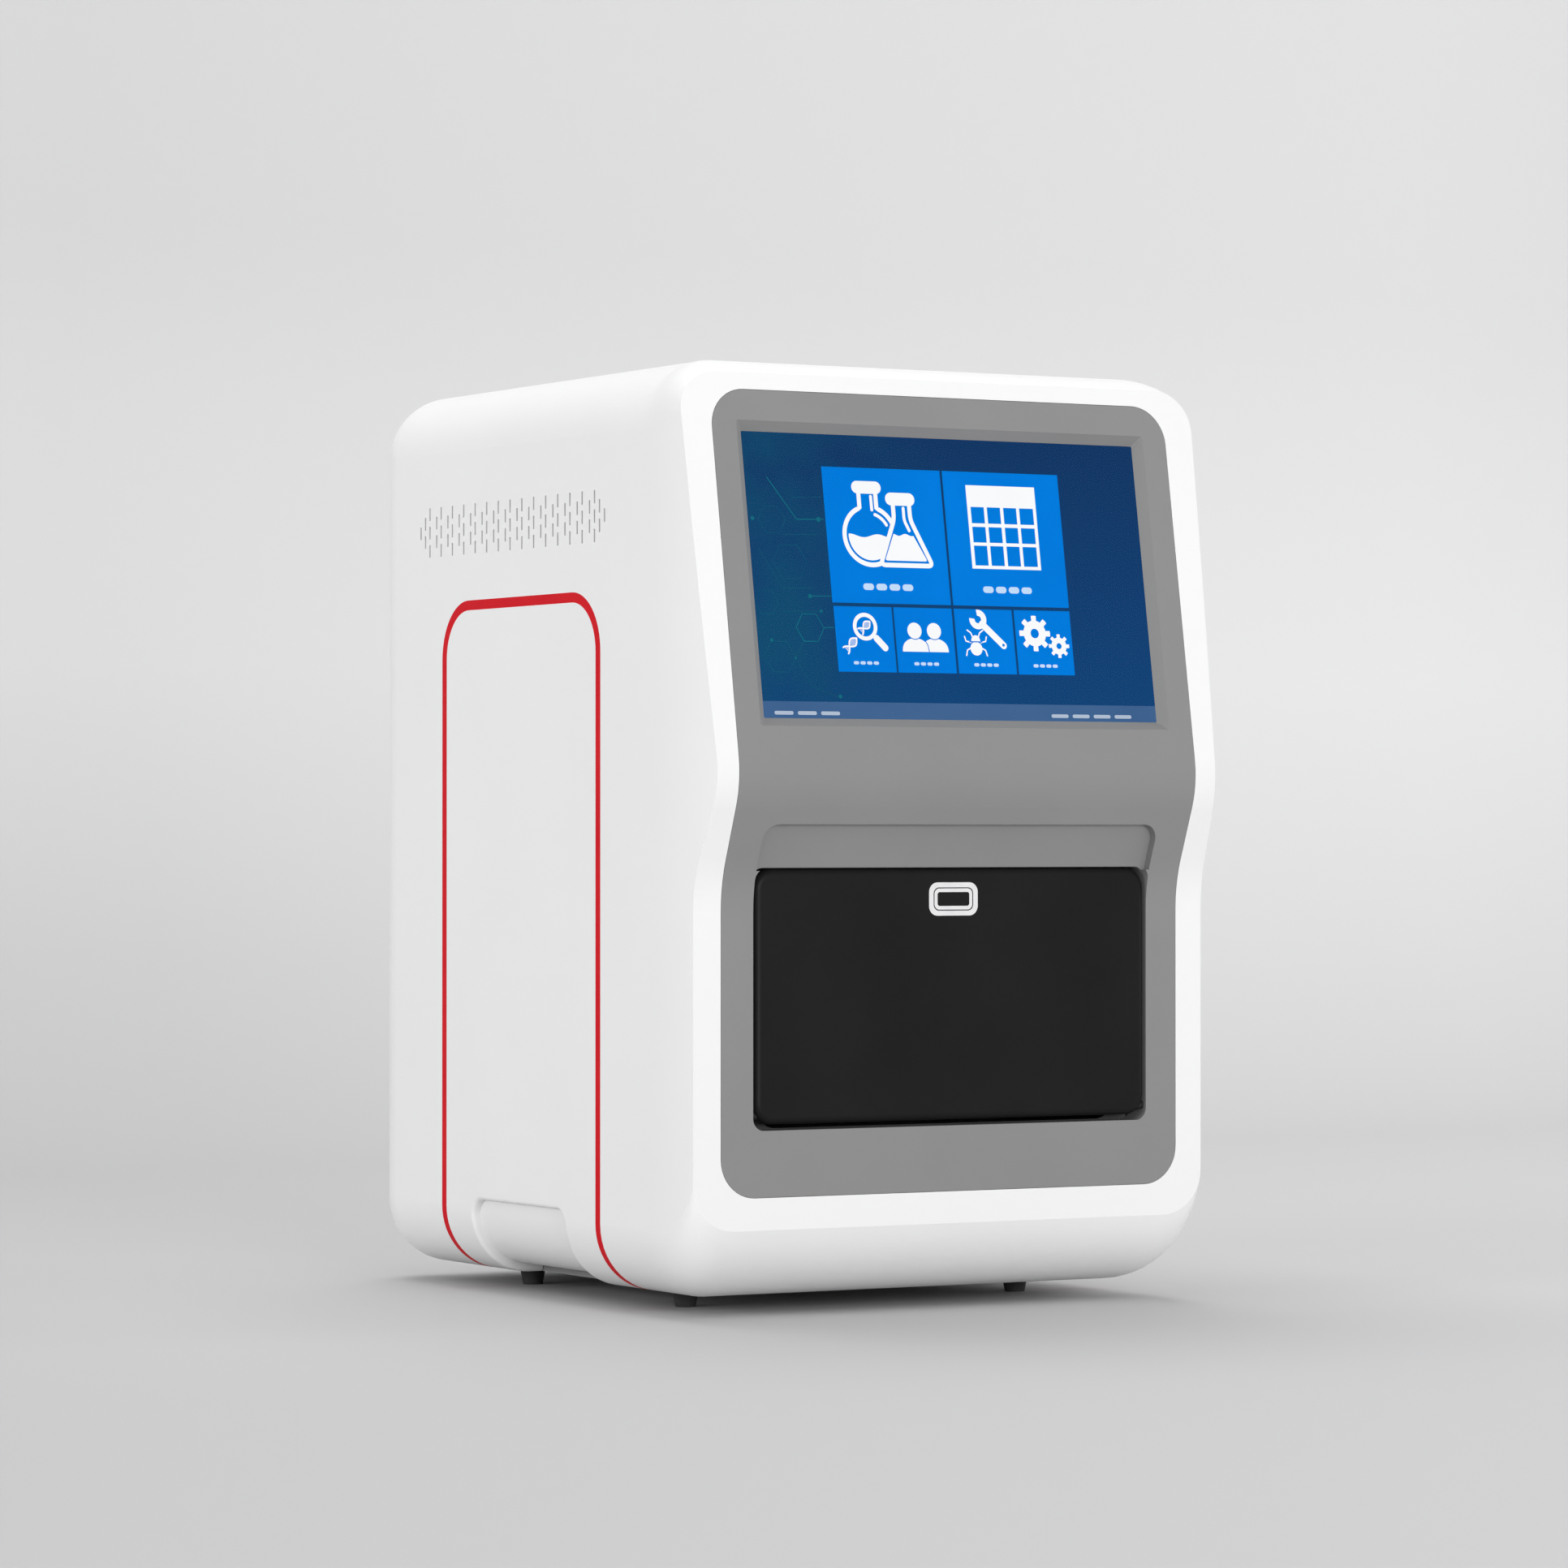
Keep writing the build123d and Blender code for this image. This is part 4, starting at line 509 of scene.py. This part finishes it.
def drawFlasks(white, blue, front):
    # a round flask, and a conical one in front of it, both half full
    line, fine = screen["line"], screen["fine"]
    white.band([(-33.0, 30.0), (-26.0, 30.0)], 4.2)
    white.band(np.concatenate([[(-32.6, 28.0)], arc(-29.4, 13.9, 9.7, 109.3, 430.7, 80), [(-26.2, 28.0)]]), line)
    white.shape(np.concatenate([wave(-37.5, -21.3, 13.9, 0.55, 10.6, -37.2), arc(-29.4, 13.9, 8.2, 0, -180)]))
    white.band([(-28.05, 27.0), (-28.0, 22.6)], fine)
    white.band(arc(-29.4, 13.9, 7.5, 71, 30, 12), fine)
    cone = rounded([(-19.85, 24.5), (-19.85, 19.6), (-26.3, 4.3), (-6.4, 4.3), (-13.65, 19.6), (-13.65, 24.5)], 1.9)
    blue.shape(cone)
    front.band(cone, line)
    front.band([(-20.45, 26.4), (-13.55, 26.4)], 4.3)
    foot = rounded([(-12.9, 14.5), (-8.3, 5.8), (-24.5, 5.8), (-20.6, 14.5)], 1.0, True)
    front.shape(np.concatenate([wave(-20.5, -13.0, 14.5, 0.35, 4.8, -20.9), foot[cornerSteps:3 * cornerSteps]]))
    front.band(rounded([(-16.0, 23.4), (-16.0, 19.4), (-14.4, 16.0)], 1.2), fine)


def drawTable(white):
    # a solid heading over four by three cells
    left, right, low, head, high = 8.8, 35.6, 3.9, 24.7, 32.0
    for bar in [(left, right, head, high), (left, right, low, 5.0), (left, right, 11.65, 12.75),
                (left, right, 18.0, 19.2), (left, 10.1, low, head), (34.4, right, low, head),
                (15.2, 16.4, low, head), (21.5, 22.75, low, head), (27.8, 29.0, low, head)]:
        white.tile(*bar)


def drawStrand(white, start, end, swing, turns, width):
    # two strands: a line plus and minus swing * sin(2 pi turns t) to its side, with rungs between them
    start, end = np.array(start), np.array(end)
    along = (end - start) / np.linalg.norm(end - start)
    side = np.array([-along[1], along[0]])
    t = np.linspace(0, 1, 40)[:, None]
    for way in (-1, 1):
        white.band(start + t * (end - start) + way * swing * np.cos(2 * np.pi * turns * t) * side, width)
    for share in np.linspace(0.1, 0.9, 9):
        sway = swing * math.cos(2 * math.pi * turns * share) * side
        rung = start + share * (end - start)
        if np.linalg.norm(sway) > 0.35 * swing:
            white.band([rung - sway, rung + sway], width * 0.45, False)


def drawSmallSigns(white, blue):
    # magnifier on a strand, two people, spanner and beetle, two gear wheels
    white.ring(-34.3, -16.4, 3.25, 4.6)
    white.band([(-30.3, -20.2), (-27.3, -23.3)], 2.3)
    drawStrand(white, (-42.3, -24.4), (-37.9, -20.3), 1.35, 0.75, 0.55)
    drawStrand(white, (-36.3, -18.1), (-32.4, -14.7), 1.25, 0.75, 0.5)
    for centre in (-8.2, -15.65):
        dome = centre + 5.05 * np.cos(np.radians(np.linspace(0, 180, 31)))
        rise = -24.4 + 4.5 * np.sin(np.radians(np.linspace(0, 180, 31))) ** 0.8
        white.shape(np.stack([dome, rise], 1))
        white.disc(centre, -17.4, 2.7)
        blue.ring(centre, -17.4, 2.7, 3.0, 215, 325)
    blue.band(rounded([(-12.0, -20.6), (-11.0, -22.0), (-10.6, -24.5)], 0.8), 0.32, False)
    white.band([(10.6, -14.7), (18.3, -21.8)], 2.35)
    white.ring(9.1, -13.2, 1.25, 3.3, 172, 458)
    blue.disc(18.2, -21.65, 0.5)
    white.disc(7.6, -23.0, 2.3)
    white.shape(arc(7.6, -20.5, 1.75, 0, 180, 20) * (1, 1.15) - (0, -20.5 * 0.15))
    blue.band([(5.0, -20.75), (10.2, -20.75)], 0.3, False)
    for way in (-1, 1):
        for path in ([(1.2, -18.9), (1.7, -17.7), (3.0, -16.8)], [(2.0, -20.9), (3.8, -20.5), (4.2, -19.0)],
                     [(2.1, -22.8), (3.5, -23.5), (4.0, -25.3)]):
            white.band([(7.6 + way * u, v) for u, v in path], 0.5)
    white.gear(30.8, -17.5, 1.6, 4.35, 6.0)
    white.gear(39.9, -21.6, 1.0, 2.9, 4.0)


def drawBlocks(ink, left, right, height, thick, gap, count=4):
    # plain blocks where the photograph has words
    width = (right - left - gap * (count - 1)) / count
    for index in range(count):
        start = left + index * (width + gap) + thick / 2
        ink.band([(start, height), (start + width - thick, height)], thick)


def drawScreen():
    white, blue, front, caption, status = Drawing(4), Drawing(5), Drawing(6), Drawing(4), Drawing(4)
    drawGround()
    drawNet()
    drawFlasks(white, blue, front)
    drawTable(white)
    drawSmallSigns(white, blue)
    for left in (-33.7, 12.2):
        drawBlocks(caption, left, left + 19.0, -3.1, 2.2, 0.9)
    for left in (-39.7, -16.8, 6.2, 29.2):
        drawBlocks(caption, left, left + 9.5, -28.4, 1.1, 0.5)
    drawBlocks(status, -70.9, -46.5, -45.2, 1.2, 1.6, 3)
    drawBlocks(status, 34.5, 66.0, -45.2, 1.2, 1.6, 4)
    white.piece("screen_signs", inks["white"])
    blue.piece("screen_sign_gaps", inks["tile"])
    front.piece("screen_front_flask", inks["white"])
    caption.piece("screen_captions", inks["caption"])
    status.piece("screen_status", inks["status"])


drawScreen()


print("printing the push mark")
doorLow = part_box("door_panel")[0]
keyLow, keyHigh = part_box("release_button")
pushMark = {
    "height": (keyLow.z + keyHigh.z) / 2,
    "lift": 0.00003,
    # width, height and corner of each ring's outer and inner edge
    "outer": [(0.0187, 0.0109, 0.0032), (0.0152, 0.0076, 0.0020)],
    "inner": [(0.01455, 0.00695, 0.0018), (0.0122, 0.00455, 0.0008)],
}


def roundedRectangle(width, height, radius, steps=10):
    # four quarter arcs about the corners' centres
    angle = (np.arange(4)[:, None] * 90 + np.linspace(0, 90, steps)[None]) * np.pi / 180
    signs = np.array([(1, 1), (-1, 1), (-1, -1), (1, -1)], float)
    u = signs[:, :1] * (width / 2 - radius) + radius * np.cos(angle)
    v = signs[:, 1:] * (height / 2 - radius) + radius * np.sin(angle)
    return np.stack([u.ravel(), v.ravel()], 1)


def printedRing(name, edges, faceY, body):
    flat = np.concatenate([roundedRectangle(*edge) for edge in edges])
    faces = anticlockwise(flat, gridFaces(2, len(flat) // 2, True))
    y = np.full(len(flat), faceY - pushMark["lift"])
    points = np.stack([flat[:, 0], y, flat[:, 1] + pushMark["height"]], 1)
    ring = meshPiece(name, points, faces, finishes["mark_white"])
    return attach(ring, body)


printedRing("push_mark_outer", pushMark["outer"], doorLow.y, "door")
printedRing("push_mark_inner", pushMark["inner"], keyLow.y, "release_key")


print("cutting the threads")
threads = {
    "lid_screw_thread": {"node": "lid_lead_screw", "axis": 2, "pitch": 0.002, "depth": 0.0005, "body": "lid_screw"},
    "optics_screw_thread": {"node": "optics_lead_screw", "axis": 0, "pitch": 0.001, "depth": 0.00025,
                            "body": "optics_screw"},
}


def threadedRod(name, look):
    # radius = R - depth * |triangle wave of (reach / pitch - angle / 2 pi)|, closed at both ends
    low, high = (np.array(corner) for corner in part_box(look["node"]))
    along = look["axis"]
    side, other = (along + 1) % 3, (along + 2) % 3
    length = high[along] - low[along]
    rows, columns = int(length / look["pitch"] * 6) + 2, 24
    reach = np.linspace(0, length, rows)[:, None]
    angle = np.linspace(0, 2 * np.pi, columns, endpoint=False)[None]
    turn = np.abs(((reach / look["pitch"] - angle / (2 * np.pi)) % 1) * 2 - 1)
    outer = (high[side] - low[side]) / 2
    radius = outer - look["depth"] * turn
    radius[[0, -1]] = outer * 0.55
    tip = np.full((1, columns), outer * 0.005)
    radius = np.concatenate([tip, radius, tip])
    reach = np.concatenate([reach[:1], reach, reach[-1:]])
    points = np.empty((rows + 2, columns, 3))
    points[..., along] = low[along] + reach
    points[..., side] = (low[side] + high[side]) / 2 + radius * np.cos(angle)
    points[..., other] = (low[other] + high[other]) / 2 + radius * np.sin(angle)
    faces = gridFaces(rows + 2, columns, True)
    rod = meshPiece(name, points.reshape(-1, 3), faces[:, ::-1], finishes["ground_steel"], True)
    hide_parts(look["node"])
    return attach(rod, look["body"])


for threadName, threadLook in threads.items():
    threadedRod(threadName, threadLook)


print("setting the contacts")
tongueLow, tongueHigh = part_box("usb_tongues")
contacts = {
    "tongue": 0.0019,         # thickness of a tongue
    "width": 0.0011,
    "pitch": 0.0022,
    "rise": 0.00012,
    "rear": 0.0006,           # bare end of the tongue
    "length": 0.0085,
}


def contactStrips():
    # each strip bows down across its width: drop = rise * (1 - s^2), s from -1 to 1
    bottoms = (tongueLow.z, tongueHigh.z - contacts["tongue"])
    centre = (tongueLow.x + tongueHigh.x) / 2
    s = np.linspace(-1, 1, 7)
    y = np.linspace(tongueHigh.y - contacts["length"], tongueHigh.y - contacts["rear"], 5)
    points, faces = [], []
    for bottom in bottoms:
        for index in range(4):
            x = centre + (index - 1.5) * contacts["pitch"] + s * contacts["width"] / 2
            z = bottom - contacts["rise"] * (1 - s ** 2) - 0.00001
            xx, yy = np.meshgrid(x, y)
            points.append(np.stack([xx, yy, np.broadcast_to(z, xx.shape)], -1).reshape(-1, 3))
            faces.append(gridFaces(5, 7)[:, ::-1] + 35 * len(faces))
    strips = meshPiece("usb_contacts", np.concatenate(points), np.concatenate(faces), finishes["contact_gold"], True)
    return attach(strips, "root")


contactStrips()


print("setting the studio")
studio = {
    "front": -3.2, "wallFoot": 0.75, "bend": 0.5, "wallTop": 3.2, "halfWidth": 4.0,
    "floor": (0.62, 0.62, 0.625), "wall": (0.74, 0.74, 0.745),
    # the left and right values are painted shade, multiplied into the paper's colour across the view
    "leftPaintedShade": (0.80, 0.80, 0.80), "rightPaintedShade": (0.96, 0.96, 0.96), "paintedShadeReach": 0.4, "paintedShadeTurnDegrees": 29.9,
    "world": 0.56,
}


def buildStage():
    # floor, quarter arc and wall in one sweep; painted shade makes the paper darker towards the left
    bend, foot = studio["bend"], studio["wallFoot"]
    turn = np.radians(np.linspace(0, 90, 24))
    y = np.concatenate([np.linspace(studio["front"], foot, 12), foot + bend * np.sin(turn), [foot + bend] * 3])
    z = np.concatenate([np.zeros(12), bend * (1 - np.cos(turn)), np.linspace(bend + 0.3, studio["wallTop"], 3)])
    x = np.linspace(-studio["halfWidth"], studio["halfWidth"], 9)
    shape = (len(y), len(x))
    points = np.stack([np.broadcast_to(x[None], shape), np.broadcast_to(y[:, None], shape),
                       np.broadcast_to(z[:, None], shape)], -1).reshape(-1, 3)
    material, shader, add, join = newMaterial("studio_paper_with_painted_shade")
    # painted shade: a ramp along the turned X axis darkens the paper towards the left
    place = add("ShaderNodeTexCoord")
    turned = add("ShaderNodeMapping")
    turned.inputs["Rotation"].default_value = (0, 0, math.radians(studio["paintedShadeTurnDegrees"]))
    join(place.outputs["Object"], turned.inputs["Vector"])
    split = add("ShaderNodeSeparateXYZ")
    join(turned.outputs["Vector"], split.inputs["Vector"])
    across = add("ShaderNodeMapRange")
    reach = studio["paintedShadeReach"]
    across.inputs["From Min"].default_value, across.inputs["From Max"].default_value = -reach, reach
    join(split.outputs["X"], across.inputs["Value"])
    paintedShadeRamp = colourBetween(add, join, across.outputs["Result"], studio["leftPaintedShade"], studio["rightPaintedShade"], 0, 1)
    tone = colourBetween(add, join, split.outputs["Z"], studio["floor"], studio["wall"], 0.0, 0.25)
    mix = add("ShaderNodeMix", data_type="RGBA", blend_type="MULTIPLY")
    mix.inputs[0].default_value = 1.0
    join(tone.outputs["Color"], mix.inputs[6])
    join(paintedShadeRamp.outputs["Color"], mix.inputs[7])
    join(mix.outputs[2], shader.inputs["Base Color"])
    shader.inputs["Roughness"].default_value = 0.9
    shader.inputs["Specular IOR Level"].default_value = 0.1
    meshPiece("studio_stage", points, gridFaces(*shape), material, True)


lamps = {
    "front_softbox": {"place": (-0.35, -3.0, 0.55), "aim": (0, 0, 0.15), "size": (1.6, 0.9), "power": 48},
    "top_softbox": {"place": (0.1, 0.55, 2.2), "aim": (0, 0, 0), "size": (1.6, 1.6), "power": 24},
    "left_softbox": {"place": (-2.6, -0.3, 0.6), "aim": (0, 0, 0.15), "size": (1.0, 0.7), "power": 22},
    "right_softbox": {"place": (2.5, -0.7, 0.7), "aim": (0, 0, 0.1), "size": (1.0, 0.7), "power": 10},
}


def addLamp(name, look):
    lamp = bpy.data.lights.new(name, "AREA")
    lamp.shape, lamp.size, lamp.size_y = "RECTANGLE", *look["size"]
    lamp.energy = look["power"]
    piece = bpy.data.objects.new(name, lamp)
    piece.location = look["place"]
    piece.rotation_euler = (Vector(look["aim"]) - Vector(look["place"])).to_track_quat("-Z", "Y").to_euler()
    bpy.context.scene.collection.objects.link(piece)


def lightWorld():
    world = bpy.data.worlds.new("studio_world")
    world.use_nodes = True
    ground = world.node_tree.nodes["Background"]
    ground.inputs["Color"].default_value = (1, 1, 1, 1)
    ground.inputs["Strength"].default_value = studio["world"]
    bpy.context.scene.world = world


view = {"lens": 130.77, "sensor": 36.0, "place": (-0.97948, -1.7020, 0.15663), "turn": (90.508, 0, -29.913)}


def placeCamera():
    lens = bpy.data.cameras.new("photo_camera")
    lens.lens, lens.sensor_width = view["lens"], view["sensor"]
    lens.clip_start, lens.clip_end = 0.05, 30
    camera = bpy.data.objects.new("photo_camera", lens)
    camera.location = view["place"]
    camera.rotation_euler = [math.radians(angle) for angle in view["turn"]]
    bpy.context.scene.collection.objects.link(camera)
    bpy.context.scene.camera = camera


buildStage()
lightWorld()
for lampName, lampLook in lamps.items():
    addLamp(lampName, lampLook)
placeCamera()
bpy.context.scene.view_settings.view_transform = "Standard"
